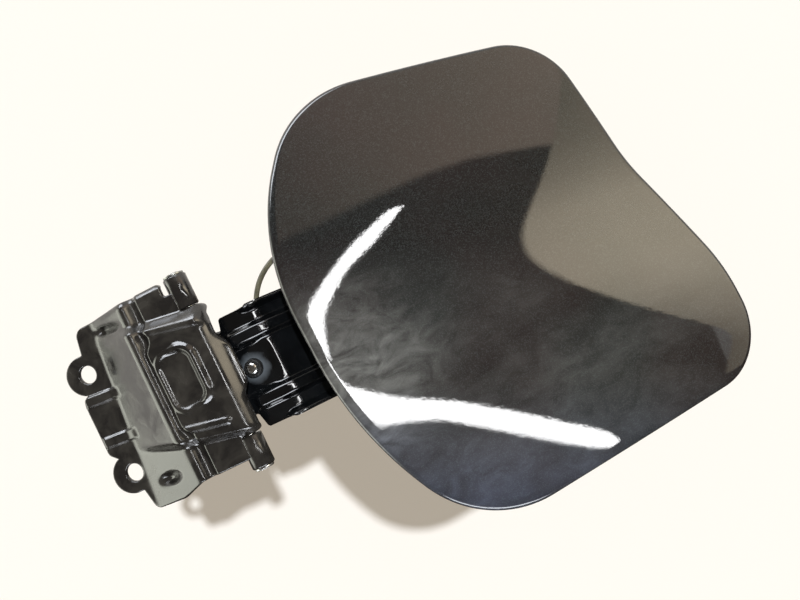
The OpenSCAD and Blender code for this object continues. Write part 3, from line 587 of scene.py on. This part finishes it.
loops = plans + bolt_rings
starts = np.cumsum([0] + [len(line) for line in loops])
edges = [(a + j, a + (j + 1) % len(line))
         for a, line in zip(starts, loops) for j in range(len(line))]
loop_faces = [list(range(a, a + len(line))) for a, line in zip(starts, plans)]
seeds = [Vector(p) for p in np.concatenate(loops + near_rows + [grid])]
made = geometry.delaunay_2d_cdt(seeds, edges, loop_faces, 1, 1e-5)
flat = np.array([(v.x, v.y) for v in made[0]])
tris = np.array(made[2])
tris = tris[~within(flat[tris].mean(1), bolt_rings)]
used, tris = np.unique(tris, return_inverse=True)
flat, tris = flat[used], tris.reshape(-1, 3)
print("bracket plan:", len(flat), "points,", len(tris), "triangles")

# %% Raise the plan into the bracket
sides = np.concatenate([tris[:, [0, 1]], tris[:, [1, 2]], tris[:, [2, 0]]])
_, first_seen, times = np.unique(np.sort(sides, 1), axis=0, return_index=True,
                                 return_counts=True)
rim = sides[first_seen[times == 1]]
from_rim = away_from(flat, flat[rim[:, 0]], flat[rim[:, 1]])
x, y = flat.T
slope_step = 0.05
slope_x = (hood_height(x + slope_step, y) - hood_height(x - slope_step, y)) / (2 * slope_step)
slope_y = (hood_height(x, y + slope_step) - hood_height(x, y - slope_step)) / (2 * slope_step)
upright = 1 / np.sqrt(1 + slope_x ** 2 + slope_y ** 2)
top = hood_height(x, y)
bottom = top - sheet_t / np.maximum(0.4, upright)


def rim_drop(r):
    """Rounding of a sheared edge: a quarter circle of radius r, measured by the distance
    from the rim."""
    d = np.clip(r - from_rim, 0, r)
    return r - np.sqrt(r ** 2 - d ** 2)


shell_points = np.concatenate([
    np.column_stack([x, y, top - rim_drop(0.75)]),
    np.column_stack([x, y, bottom + rim_drop(0.3)]),
]) * MM
n = len(flat)
rim_quads = np.column_stack([rim[:, 1], rim[:, 0], rim[:, 0] + n, rim[:, 1] + n])
stamping = (shell_points, [tris, tris[:, ::-1] + n, rim_quads])
knuckles = [tube_along_pivot(knuckle_r, 2.53, y0, y0 + knuckle_len, 0.5)
            for y0 in (-half_span, half_span - knuckle_len)]
hinge_hood = mesh_piece(
    "hinge_hood", "bracket", [stamping] + knuckles, ["hinge_bracket"], 50.0)

# %% [markdown]
# ## Helpers for materials
#
# A material starts from what the real finish is, and it is made of nodes, because an
# image would be too coarse for a part that is seen from near and from all sides. Colours
# are written as sRGB hex values, which one function turns into the linear numbers that
# the shader needs, and one small function adds a node with its settings and links.
# Patterns read Object coordinates in metres, so a scale is one over a real size in
# metres.

# %% Colours and nodes
FACTOR, FIRST, SECOND, BLENDED = 0, 6, 7, 2    # a Mix node's sockets when it mixes colours


def colour(hex_value):
    """Linear colour of an sRGB hex value: c/12.92 in the dark, ((c + 0.055) / 1.055) to
    the power 2.4 above."""
    c = np.array([int(hex_value[i:i + 2], 16) for i in (1, 3, 5)]) / 255.0
    return tuple(np.where(c <= 0.04045, c / 12.92, ((c + 0.055) / 1.055) ** 2.4)) + (1.0,)


def add(tree, kind, inputs=None, give=0, **settings):
    """Adds a node and returns one of its outputs. Settings are its properties, and inputs
    gives each socket, by its name or place, a value or the output that feeds it."""
    made_node = tree.nodes.new(kind)
    for key, value in settings.items():
        setattr(made_node, key, value)
    for key, value in (inputs or {}).items():
        if isinstance(value, bpy.types.NodeSocket):
            tree.links.new(value, made_node.inputs[key])
        else:
            made_node.inputs[key].default_value = value
    return made_node.outputs[give]


def feed(tree, shader, **outputs):
    """Links each output to the shader's socket of that name."""
    for key, output in outputs.items():
        tree.links.new(output, shader.inputs[key.replace("_", " ")])


def new_finish(name, **sockets):
    """A material with a Principled shader whose sockets are set directly. It returns the
    material with its tree, its shader and the Object coordinates."""
    finish = bpy.data.materials.new(name)
    finish.use_nodes = True
    tree = finish.node_tree
    shader = tree.nodes["Principled BSDF"]
    for key, value in sockets.items():
        shader.inputs[key.replace("_", " ")].default_value = value
    print("finish:", name)
    return finish, tree, shader, add(tree, "ShaderNodeTexCoord", give="Object")


def per(millimetres):
    """Scale of a pattern whose cells have that size: one over the size in metres."""
    return 1.0 / (millimetres * MM)


print("a mid grey of #808080 is", round(float(colour("#808080")[0]), 3), "in linear light")

# %% [markdown]
# ## Body paint
#
# The paint is a metallic black in two layers: a dark base with fine aluminium flakes,
# and a clear coat that mirrors the room. The flakes are really about 0.05 mm across;
# here they are drawn at 0.3 mm so that they still show at the photograph's scale. The
# base could be one flat colour, but a real one drifts between a green and a brown black,
# so a slow noise mixes the two.

# %% Base colour of the body paint
body_paint, tree, shader, place = new_finish(
    "body_paint_metallic_black", Metallic=0.0, Roughness=0.5, Specular_IOR_Level=0.12,
    Coat_Weight=1.0, Coat_Roughness=0.02, Coat_IOR=1.5)
flake = add(tree, "ShaderNodeTexVoronoi", {"Vector": place, "Scale": per(0.3)}, give="Color")
flake_light = add(tree, "ShaderNodeSeparateColor", {"Color": flake})
flake_share = add(tree, "ShaderNodeMapRange",
                  {"Value": flake_light, "From Min": 0.65, "To Max": 0.5})
tone = add(tree, "ShaderNodeTexNoise", {"Vector": place, "Scale": per(55.0), "Detail": 2.0})
tone_share = add(tree, "ShaderNodeMapRange", {"Value": tone, "From Min": 0.4, "From Max": 0.62})
dark = add(tree, "ShaderNodeMix",
           {FACTOR: tone_share, FIRST: colour("#0a0c0b"), SECOND: colour("#170e0d")},
           BLENDED, data_type="RGBA")
base = add(tree, "ShaderNodeMix", {FACTOR: flake_share, FIRST: dark, SECOND: colour("#3c4140")},
           BLENDED, data_type="RGBA")
print("nodes of the base colour:", len(tree.nodes))

# %% [markdown]
# Handling has left a film of dust on the lower side of the clear coat, with wiped streaks
# in it, and a pale haze where a thumb pushes the door. A painted sheen is added to the
# dust: it grows paler and bluish towards the lower edge and stands in for light on the
# lower door, not for more dust. The film could be painted as a picture, but noises are as
# irregular and have no seams: a slow one for the film, a quick one for the wiping, and both
# are stretched along one direction.

# %% Film of dust, wiped streaks, the hazy patch and a painted sheen low down
thumb_spot = (0.098, -0.022, 0.0)
down = add(tree, "ShaderNodeVectorMath", {0: place, 1: (-0.43, -0.9, 0.0)}, "Value",
           operation="DOT_PRODUCT")
low_side = add(tree, "ShaderNodeMapRange", {"Value": down, "From Min": -0.07, "From Max": -0.02})
swirl = add(tree, "ShaderNodeMapping",
            {"Vector": place, "Rotation": (0.0, 0.0, 0.75), "Scale": (1.0, 1.9, 1.0)})
film = add(tree, "ShaderNodeTexNoise", {
    "Vector": swirl, "Scale": per(60.0), "Detail": 4.0, "Roughness": 0.55, "Distortion": 0.5})
wiped = add(tree, "ShaderNodeTexNoise", {
    "Vector": swirl, "Scale": per(15.0), "Detail": 5.0, "Roughness": 0.6, "Distortion": 1.2})
film_share = add(tree, "ShaderNodeMapRange",
                 {"Value": film, "From Min": 0.38, "From Max": 0.64, "To Max": 0.17})
wipe_share, strokes = (add(tree, "ShaderNodeMapRange", {
    "Value": wiped, "From Min": 0.36, "From Max": 0.72, "To Min": least, "To Max": most,
}) for least, most in ((0.3, 0.9), (0.2, 0.95)))
# painted sheen: a pale share that rises towards the lower edge and stands in for light there, not
# dust
painted_low_sheen = add(tree, "ShaderNodeMapRange", {
    "Value": down, "From Min": -0.02, "From Max": 0.04, "To Min": 0.01, "To Max": 0.075})
# dust smears plus the painted sheen low down
smears_and_painted_sheen = add(tree, "ShaderNodeMath", {0: film_share, 1: wipe_share, 2: painted_low_sheen},
             operation="MULTIPLY_ADD")
low_smears_and_sheen = add(tree, "ShaderNodeMath", {0: smears_and_painted_sheen, 1: low_side}, operation="MULTIPLY")
flat_place = add(tree, "ShaderNodeMapping", {"Vector": place, "Scale": (1.0, 1.0, 0.0)})
from_thumb = add(tree, "ShaderNodeVectorMath", {0: flat_place, 1: thumb_spot}, "Value",
                 operation="DISTANCE")
thumb_share = add(tree, "ShaderNodeMapRange", {
    "Value": from_thumb, "From Min": 0.047, "From Max": 0.006, "To Max": 0.42,
}, interpolation_type="SMOOTHSTEP")
# share of dust and painted sheen, with the thumb's haze
dust_and_sheen_share = add(tree, "ShaderNodeMath", {0: thumb_share, 1: strokes, 2: low_smears_and_sheen},
                 operation="MULTIPLY_ADD")
# painted sheen: the pale tint turns bluish towards the lower edge, which stands in for light, not
# a dust colour
painted_bluish_sheen = add(tree, "ShaderNodeMapRange", {"Value": down, "From Min": -0.02, "From Max": 0.02})
dust_and_sheen_tint = add(tree, "ShaderNodeMix",
                {FACTOR: painted_bluish_sheen, FIRST: colour("#a8a8a2"), SECOND: colour("#8c98b4")},
                BLENDED, data_type="RGBA")
painted = add(tree, "ShaderNodeMix", {FACTOR: dust_and_sheen_share, FIRST: base, SECOND: dust_and_sheen_tint},
              BLENDED, data_type="RGBA")
print("nodes with the dust:", len(tree.nodes))

# %% [markdown]
# A sprayed clear coat dries with a fine orange peel. Its waves are about 2 mm long and
# 0.005 mm high. They can't be felt, but they make mirrored edges slightly ragged, so the
# relief goes to the coat's normal as well as to the base's.

# %% Orange peel of the clear coat
peel = add(tree, "ShaderNodeTexNoise",
           {"Vector": place, "Scale": per(1.8), "Detail": 3.0, "Roughness": 0.6})
waves = add(tree, "ShaderNodeBump", {"Height": peel, "Strength": 1.0, "Distance": 0.005 * MM})
feed(tree, shader, Base_Color=painted, Normal=waves, Coat_Normal=waves)
print("all nodes of the body paint:", len(tree.nodes))

# %% [markdown]
# ## Primer and e-coat
#
# The hidden steel is dipped in electro-coat, a thin black primer that is glossy where it
# lies on smooth metal and satin on the rougher, stamped faces. One even black would
# look like moulded plastic. Slow noise in its colour and roughness and a very low bump
# give the uneven dip finish.

# %% Dipped finishes
def dipped(name, dark, light, roughness, spread, size, bump_mm):
    """An electro-coat: colour and roughness drift between two values in lumps of that
    size, over a faint orange peel."""
    finish, tree, shader, place = new_finish(name, IOR=1.55)
    drift = add(tree, "ShaderNodeTexNoise", {
        "Vector": place, "Scale": per(size), "Detail": 5.0, "Roughness": 0.6, "Distortion": 0.6})
    share = add(tree, "ShaderNodeMapRange", {"Value": drift, "From Min": 0.38, "From Max": 0.68})
    tint = add(tree, "ShaderNodeMix", {FACTOR: share, FIRST: colour(dark), SECOND: colour(light)},
               BLENDED, data_type="RGBA")
    gloss = add(tree, "ShaderNodeMapRange", {
        "Value": drift, "From Min": 0.35, "From Max": 0.7,
        "To Min": roughness, "To Max": roughness + spread})
    fine = add(tree, "ShaderNodeTexNoise", {"Vector": place, "Scale": per(2.2), "Detail": 2.0})
    relief = add(tree, "ShaderNodeBump",
                 {"Height": fine, "Strength": 0.2, "Distance": bump_mm * MM})
    feed(tree, shader, Base_Color=tint, Roughness=gloss, Normal=relief)
    return finish


e_coat_bracket = dipped("e_coat_on_bracket", "#22201e", "#393631", 0.09, 0.2, 9.0, 0.04)
e_coat_arm = dipped("e_coat_on_arm", "#08090a", "#121416", 0.06, 0.12, 14.0, 0.03)
inner_coat = dipped("thin_paint_inside", "#101314", "#23282a", 0.28, 0.2, 22.0, 0.05)

# %% [markdown]
# The arm's coat is worn to a pale grey round the stud, where grease and the rubber collar
# have rubbed it. It could be a piece of its own, but wear has no edge: it follows the
# distance from the stud, made uneven by a noise.

# %% Wear round the stud
stud_spot = (stud_x * MM, arm_y * MM, (root_z - 0.9) * MM)
tree = e_coat_arm.node_tree
shader = tree.nodes["Principled BSDF"]
place = add(tree, "ShaderNodeTexCoord", give="Object")
stud_off = add(tree, "ShaderNodeVectorMath", {0: place, 1: stud_spot}, "Value",
               operation="DISTANCE")
rubbed = add(tree, "ShaderNodeTexNoise", {"Vector": place, "Scale": per(6.0), "Detail": 4.0})
wobble = add(tree, "ShaderNodeMath", {0: rubbed, 1: 4.0 * MM, 2: stud_off},
             operation="MULTIPLY_ADD")
wear = add(tree, "ShaderNodeMapRange",
           {"Value": wobble, "From Min": 8.5 * MM, "From Max": 5.5 * MM, "To Max": 0.4})
coat_tint = shader.inputs["Base Color"].links[0].from_socket
worn = add(tree, "ShaderNodeMix", {FACTOR: wear, FIRST: coat_tint, SECOND: colour("#8d959c")},
           BLENDED, data_type="RGBA")
feed(tree, shader, Base_Color=worn)
print("stud in metres:", np.round(stud_spot, 4))

# %% [markdown]
# ## Small metal, rubber and plastic
#
# The rivets and the hook are zinc-plated, the pin and the stud are ground bright steel,
# the spring is oil-tempered wire, and the hanger's wire has a dull olive coating. The
# buffers and the stud's collar are moulded rubber, the bushes natural nylon, and the
# dabs between the panels are putty. Each could have nodes of its own, but all of them
# drift slowly in colour and gloss over a fine relief, so one function serves them with
# values for each.

# %% Small finishes
def small_finish(name, dark, light, size, roughness, metallic, bump_mm=0.02):
    """A finish whose colour and roughness drift slowly between two values over a fine
    relief."""
    finish, tree, shader, place = new_finish(name, Metallic=metallic)
    drift = add(tree, "ShaderNodeTexNoise",
                {"Vector": place, "Scale": per(size), "Detail": 4.0, "Roughness": 0.6})
    share = add(tree, "ShaderNodeMapRange", {"Value": drift, "From Min": 0.35, "From Max": 0.7})
    tint = add(tree, "ShaderNodeMix", {FACTOR: share, FIRST: colour(dark), SECOND: colour(light)},
               BLENDED, data_type="RGBA")
    gloss = add(tree, "ShaderNodeMapRange", {
        "Value": drift, "From Min": 0.3, "From Max": 0.7,
        "To Min": roughness, "To Max": roughness + 0.15})
    fine = add(tree, "ShaderNodeTexNoise",
               {"Vector": place, "Scale": per(0.5), "Detail": 3.0, "Roughness": 0.6})
    relief = add(tree, "ShaderNodeBump",
                 {"Height": fine, "Strength": 0.3, "Distance": bump_mm * MM})
    feed(tree, shader, Base_Color=tint, Roughness=gloss, Normal=relief)
    return finish


zinc_plate = small_finish("zinc_plated_steel", "#7f8180", "#a9aba7", 3.0, 0.34, 1.0)
bright_steel = small_finish("ground_bright_steel", "#b9bab8", "#dadbd8", 2.0, 0.2, 1.0, 0.01)
spring_steel = small_finish("oil_tempered_wire", "#3b3b3a", "#575654", 2.0, 0.35, 1.0)
coated_wire = small_finish("olive_coated_wire", "#4e4b3a", "#6d6852", 3.0, 0.45, 0.0)
rubber = small_finish("moulded_rubber", "#0c0c0c", "#181817", 4.0, 0.62, 0.0, 0.05)
nylon = small_finish("natural_nylon", "#cfcabd", "#dedacf", 5.0, 0.4, 0.0)
mastic = small_finish("grey_putty", "#4a4a4c", "#66666a", 3.0, 0.8, 0.0, 0.1)

# %% Give every piece its finish
nodes_with = [
    (zinc_plate, ("arm_rivets", "pin_washer", "latch_hook", "latch_rivets")),
    (bright_steel, ("arm_stud", "hinge_pin")),
    (spring_steel, ("opening_spring",)),
    (coated_wire, ("cap_hanger",)),
    (rubber, ("stud_collar", "rubber_buffers")),
    (nylon, ("pivot_bushes",)),
    (mastic, ("mastic_dabs",)),
]
for finish, node_names in nodes_with:
    for node_name in node_names:
        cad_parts[node_name].data.materials.clear()
        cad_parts[node_name].data.materials.append(finish)
for piece, finish in ((painted_skin, body_paint), (tray_panel, inner_coat),
                      (gooseneck, e_coat_arm), (hinge_hood, e_coat_bracket)):
    piece.data.materials.append(finish)
print("CAD nodes with a finish:", sum(len(names) for _, names in nodes_with))

# %% [markdown]
# ## The table, the room and the light
#
# The photograph is lit by a pale room, and its table is nearly white. The table here
# lies below the swing of the closing door, because a part held by its bolts hangs free.
# It could glow by itself to stay white, but then it would lose the part's shadow. So it
# glows only a little where the lens or a mirror sees it, as an overexposed table does,
# and the rest of its light comes from the far lamp and the room. The world round it is
# white to the lens and weaker as a light, for the same reason.

# %% Table
table_z, reach, glow_share = -0.206, 3.0, 0.26
table_mesh = bpy.data.meshes.new("table")
table_mesh.from_pydata([(-reach, -reach, table_z), (reach, -reach, table_z),
                        (reach, reach, table_z), (-reach, reach, table_z)], [], [(0, 1, 2, 3)])
table = bpy.data.objects.new("table", table_mesh)
bpy.context.scene.collection.objects.link(table)
table_white, tree, shader, _ = new_finish(
    "white_table", Base_Color=colour("#faf8f4"), Roughness=0.9, Specular_IOR_Level=0.0)
glow = add(tree, "ShaderNodeEmission", {"Color": colour("#ffeacb"), "Strength": 1.0})
to_camera = add(tree, "ShaderNodeLightPath", give="Is Camera Ray")
mirrored_ray = add(tree, "ShaderNodeLightPath", give="Is Glossy Ray")
seen = add(tree, "ShaderNodeMath", {0: to_camera, 1: mirrored_ray}, operation="MAXIMUM")
share = add(tree, "ShaderNodeMath", {0: seen, 1: glow_share}, operation="MULTIPLY")
mixed = add(tree, "ShaderNodeMixShader", {0: share, 1: shader.outputs[0], 2: glow})
tree.links.new(mixed, tree.nodes["Material Output"].inputs["Surface"])
table.data.materials.append(table_white)
print("table at", table_z, "metres")

# %% World: white where the lens, a mirror or clear glass sees it, softer as light
world = bpy.data.worlds.new("pale_room")
bpy.context.scene.world = world
world.use_nodes = True
tree = world.node_tree
to_camera = add(tree, "ShaderNodeLightPath", give="Is Camera Ray")
mirrored_ray = add(tree, "ShaderNodeLightPath", give="Is Glossy Ray")
through = add(tree, "ShaderNodeLightPath", give="Is Transmission Ray")
seen = add(tree, "ShaderNodeMath", {0: to_camera, 1: mirrored_ray}, operation="MAXIMUM")
seen = add(tree, "ShaderNodeMath", {0: seen, 1: through}, operation="MAXIMUM")
strength = add(tree, "ShaderNodeMapRange", {"Value": seen, "To Min": 0.27, "To Max": 1.0})
sky = tree.nodes["Background"]
sky.inputs["Color"].default_value = colour("#fffdf9")
tree.links.new(strength, sky.inputs["Strength"])
print("world nodes:", len(tree.nodes))

# %% [markdown]
# ## What the clear coat mirrors
#
# A polished part looks like the room round it: in the photograph two plain walls and two
# strip lamps show in the door's clear coat. Moving planes about until they look right
# would take long. So each is a card that stands where its mirror image asks for it: the
# line of sight through a place in the picture meets the door's crowned face, is mirrored
# there, and gives the direction of one point of the card. Only mirror-like rays see the
# cards, so they light nothing by themselves. Their cover fades at the borders, which
# gives soft edges.

# %% Follow a line of sight to its mirrored direction
picture_mid, pixel = (400, 300), sensor_mm / lens_mm / 800


def mirrored(u, v):
    """For picture places u, v in pixels of 800 x 600: where the line of sight meets the
    door, by Newton's steps on its height above the crowned face, and the direction
    d - 2 (d.n) n after the mirror."""
    sight = (right * (u - picture_mid[0])[:, None] - up * (v - picture_mid[1])[:, None]) * pixel
    sight = sight - back
    sight /= np.linalg.norm(sight, axis=1)[:, None]
    origin = to_frame(np.zeros(3))
    door_axes = np.column_stack([(to_frame(axis) - origin) / MM for axis in np.eye(3)])
    start, ray = (lens_place - origin) / MM @ door_axes, sight @ door_axes
    t = -start[2] / ray[:, 2]
    for _ in range(6):
        hit = start + ray * t[:, None]
        above = hit[:, 2] - crown(hit)
        t = t - above / (ray[:, 2] + (hit[:, :2] * ray[:, :2]).sum(1) / crown_r)
    normal = np.column_stack([hit[:, :2] / crown_r, np.ones(len(hit))])
    normal = normal / np.linalg.norm(normal, axis=1)[:, None] @ door_axes.T
    return to_frame(hit), sight - 2 * (sight * normal).sum(1)[:, None] * normal


_, way = mirrored(np.array([500.0]), np.array([300.0]))
print("the door mirrors this direction at (500, 300):", way[0].round(2))


def resampled(line, n):
    """n points at equal steps of length along a line of points, with its corners
    softened."""
    line = np.array(line, float)
    steps = np.linalg.norm(np.diff(line, axis=0), axis=1)
    length = np.concatenate([[0], np.cumsum(steps)])
    at = np.linspace(0, length[-1], n)
    fine = np.column_stack([np.interp(at, length, line[:, i]) for i in range(line.shape[1])])
    for _ in range(3):
        fine[1:-1] = (fine[:-2] + 2 * fine[1:-1] + fine[2:]) / 4
    return fine


# %% Cards that only mirrors see
def card(name, points, tint, strength, cover=1.0, power=1.0):
    """A card from a grid of points in metres. Its cover, from 0 for clear to 1 for solid,
    and its power, a share of the strength, may differ from point to point."""
    count, width = points.shape[:2]
    mesh = bpy.data.meshes.new(name)
    quads = knit(count, width, columns_meet=False)
    mesh.from_pydata(points.reshape(-1, 3).tolist(), [], quads.tolist())
    for attribute, values in (("cover", cover), ("power", power)):
        values = np.broadcast_to(values, (count, width)).ravel().astype(np.float32)
        mesh.attributes.new(attribute, "FLOAT", "POINT").data.foreach_set("value", values)
    piece = bpy.data.objects.new(name, mesh)
    bpy.context.scene.collection.objects.link(piece)
    shine = bpy.data.materials.new(name)
    shine.use_nodes = True
    tree = shine.node_tree
    tree.nodes.remove(tree.nodes["Principled BSDF"])
    level = add(tree, "ShaderNodeAttribute", give="Fac", attribute_name="cover")
    part = add(tree, "ShaderNodeAttribute", give="Fac", attribute_name="power")
    full = add(tree, "ShaderNodeMath", {0: part, 1: strength}, operation="MULTIPLY")
    light = add(tree, "ShaderNodeEmission", {"Color": colour(tint), "Strength": full})
    clear = add(tree, "ShaderNodeBsdfTransparent")
    mixed = add(tree, "ShaderNodeMixShader", {0: level, 1: clear, 2: light})
    tree.links.new(mixed, tree.nodes["Material Output"].inputs["Surface"])
    mesh.materials.append(shine)
    piece.visible_camera = piece.visible_diffuse = False
    piece.visible_shadow = piece.visible_transmission = False
    print(f"{name}: {len(quads)} faces")


def mirrored_card(name, one_side, other_side, distance, tint, strength, soft,
                  along=(1.0, 1.0), across=(1.0, 1.0)):
    """A card between two lines of picture places, at a distance in metres beyond the
    mirror. Its sides fade over the two shares soft, and its strength follows the values
    along and across it."""
    n, m = 60, 24
    a, b = resampled(one_side, n), resampled(other_side, n)
    s, k = np.linspace(0, 1, n)[:, None], np.linspace(0, 1, m)[None]
    places = a[:, None] + (b - a)[:, None] * k[..., None]
    hit, way = mirrored(places[..., 0].ravel(), places[..., 1].ravel())
    cover = smooth(0, soft[0], k) * smooth(1, 1 - soft[1], k)
    run = np.interp(s, np.linspace(0, 1, len(along)), along)
    wide = np.interp(k, np.linspace(0, 1, len(across)), across)
    card(name, (hit + way * distance).reshape(n, m, 3), tint, strength, cover, run * wide)


# %% The walls and lamps in the mirror
mirrored_card(
    "upper_wall",
    [(262, 252), (310, 232), (360, 208), (420, 180), (470, 162), (520, 152), (575, 142)],
    [(230, 120), (270, 60), (340, 20), (430, -10), (500, -20), (560, 10), (600, 80)],
    2.0, "#f6dfc9", 2.0, (0.025, 0.05),
    (0.3, 0.4, 0.6, 0.75, 0.9, 1.0, 1.0), (0.95, 1.0, 1.1))
mirrored_card(
    "right_wall",
    [(562, 60), (556, 120), (545, 165), (530, 200), (517, 232), (519, 252), (535, 268),
     (570, 285), (620, 302), (680, 318), (734, 331), (724, 372)],
    [(600, 60), (640, 100), (670, 140), (690, 165), (705, 185), (720, 200), (735, 215),
     (750, 230), (765, 250), (775, 280), (790, 330), (790, 390)],
    1.9, "#f1e3c8", 5.6, (0.02, 0.02),
    (0.3, 0.3, 0.38, 0.62, 0.98, 1.08, 1.08, 0.92, 0.65, 0.42, 0.3, 0.25), (0.95, 1.05, 0.95))
mirrored_card(
    "long_lamp",
    [(318, 352), (345, 385), (400, 396), (460, 400), (520, 411), (570, 422), (600, 428),
     (617, 434), (620, 440)],
    [(318, 372), (350, 410), (378, 432), (400, 425), (440, 422), (500, 433), (550, 443),
     (590, 450), (612, 449)],
    1.6, "#ffffff", 26.0, (0.08, 0.2))
mirrored_card(
    "side_lamp",
    [(404, 205), (388, 209), (368, 227), (345, 250), (325, 277), (308, 303), (306, 316),
     (312, 335), (320, 352)],
    [(404, 205), (392, 222), (375, 243), (350, 268), (337, 290), (326, 315), (326, 328),
     (328, 345), (332, 362)],
    1.6, "#ffffff", 26.0, (0.14, 0.14))

# %% [markdown]
# The bends of the bracket and the rim of the door mirror the room on all sides. A single
# white sky would wash them out, so the room has its large shapes: a dim ceiling, bright
# walls far behind the bracket, a dark card of painted shade just above the table, which
# stands in for the table's shade near the part as the mirror shows it, dim low walls and
# two windows. Each is a patch of a sphere, from a range of azimuths and a range of heights
# above the horizon, and only the card of painted shade is a flat fan.

# %% The rest of the room
def directions(azimuths, heights):
    """Unit vectors for each azimuth a and height h in degrees: cos a cos h, sin a cos h
    and sin h."""
    a, h = np.radians(azimuths)[:, None], np.radians(heights)[None]
    return np.stack([np.cos(a) * np.cos(h), np.sin(a) * np.cos(h), np.sin(h) + 0 * a], -1)


dome = directions(np.linspace(0, 360, 73), np.linspace(14, 89.5, 24))
card("dim_ceiling", dome * 2.6, "#8f857a", 0.34)

azimuths, heights = np.linspace(138, 218, 40), np.linspace(-6, 30, 24)
fade = smooth(138, 153, azimuths) * smooth(218, 203, azimuths)
fade = fade[:, None] * smooth(30, 18, heights)
card("far_walls", directions(azimuths, heights) * 2.3, "#eef0e2", 5.0, fade)

azimuths, out = np.linspace(190, 350, 48), np.linspace(0.03, 2.6, 16)[None, :, None]
# painted shade: a dark card just above the table that stands in for the table's shade near the
# part, seen only in the mirror
near_table = directions(azimuths, np.zeros(1)) * out + np.array([0.15, 0.0, table_z + 0.004])
card("near_table", near_table, "#6b6259", 0.35, smooth(2.6, 2.2, out[..., 0]))
card("low_room", directions(azimuths, np.linspace(-4, 16, 6)) * 2.7, "#8f857a", 0.34)
for name, middle in (("upper_window", 90.0), ("lower_window", 268.0)):
    band = directions(middle + np.linspace(-30, 30, 24), np.linspace(8, 26, 12))
    card(name, band * 2.2, "#f4f8ff", 13.0)

# %% [markdown]
# ## The lamp
#
# The part's shadow is soft and lies just below it, so the photograph's main light stands
# a little above the lens. A near lamp would light only a pool of the table, which other
# views would show. A sun lamp lights it evenly, and its angle of 1.6 degrees softens the
# shadow's edge.

# %% A far lamp a little above the lens
lamp_data = bpy.data.lights.new("far_lamp", "SUN")
lamp_data.energy = 3.1
lamp_data.angle = np.radians(1.6)
lamp_data.color = colour("#f8fbff")[:3]
far_lamp = bpy.data.objects.new("far_lamp", lamp_data)
to_lamp = back + right * 0.1 + up * 0.26
far_lamp.matrix_world = Vector(to_lamp).to_track_quat("Z", "Y").to_matrix().to_4x4()
far_lamp.visible_glossy = False
bpy.context.scene.collection.objects.link(far_lamp)
print("direction of the lamp:", to_lamp.round(2))

# %% The view transform
bpy.context.scene.view_settings.view_transform = "Standard"
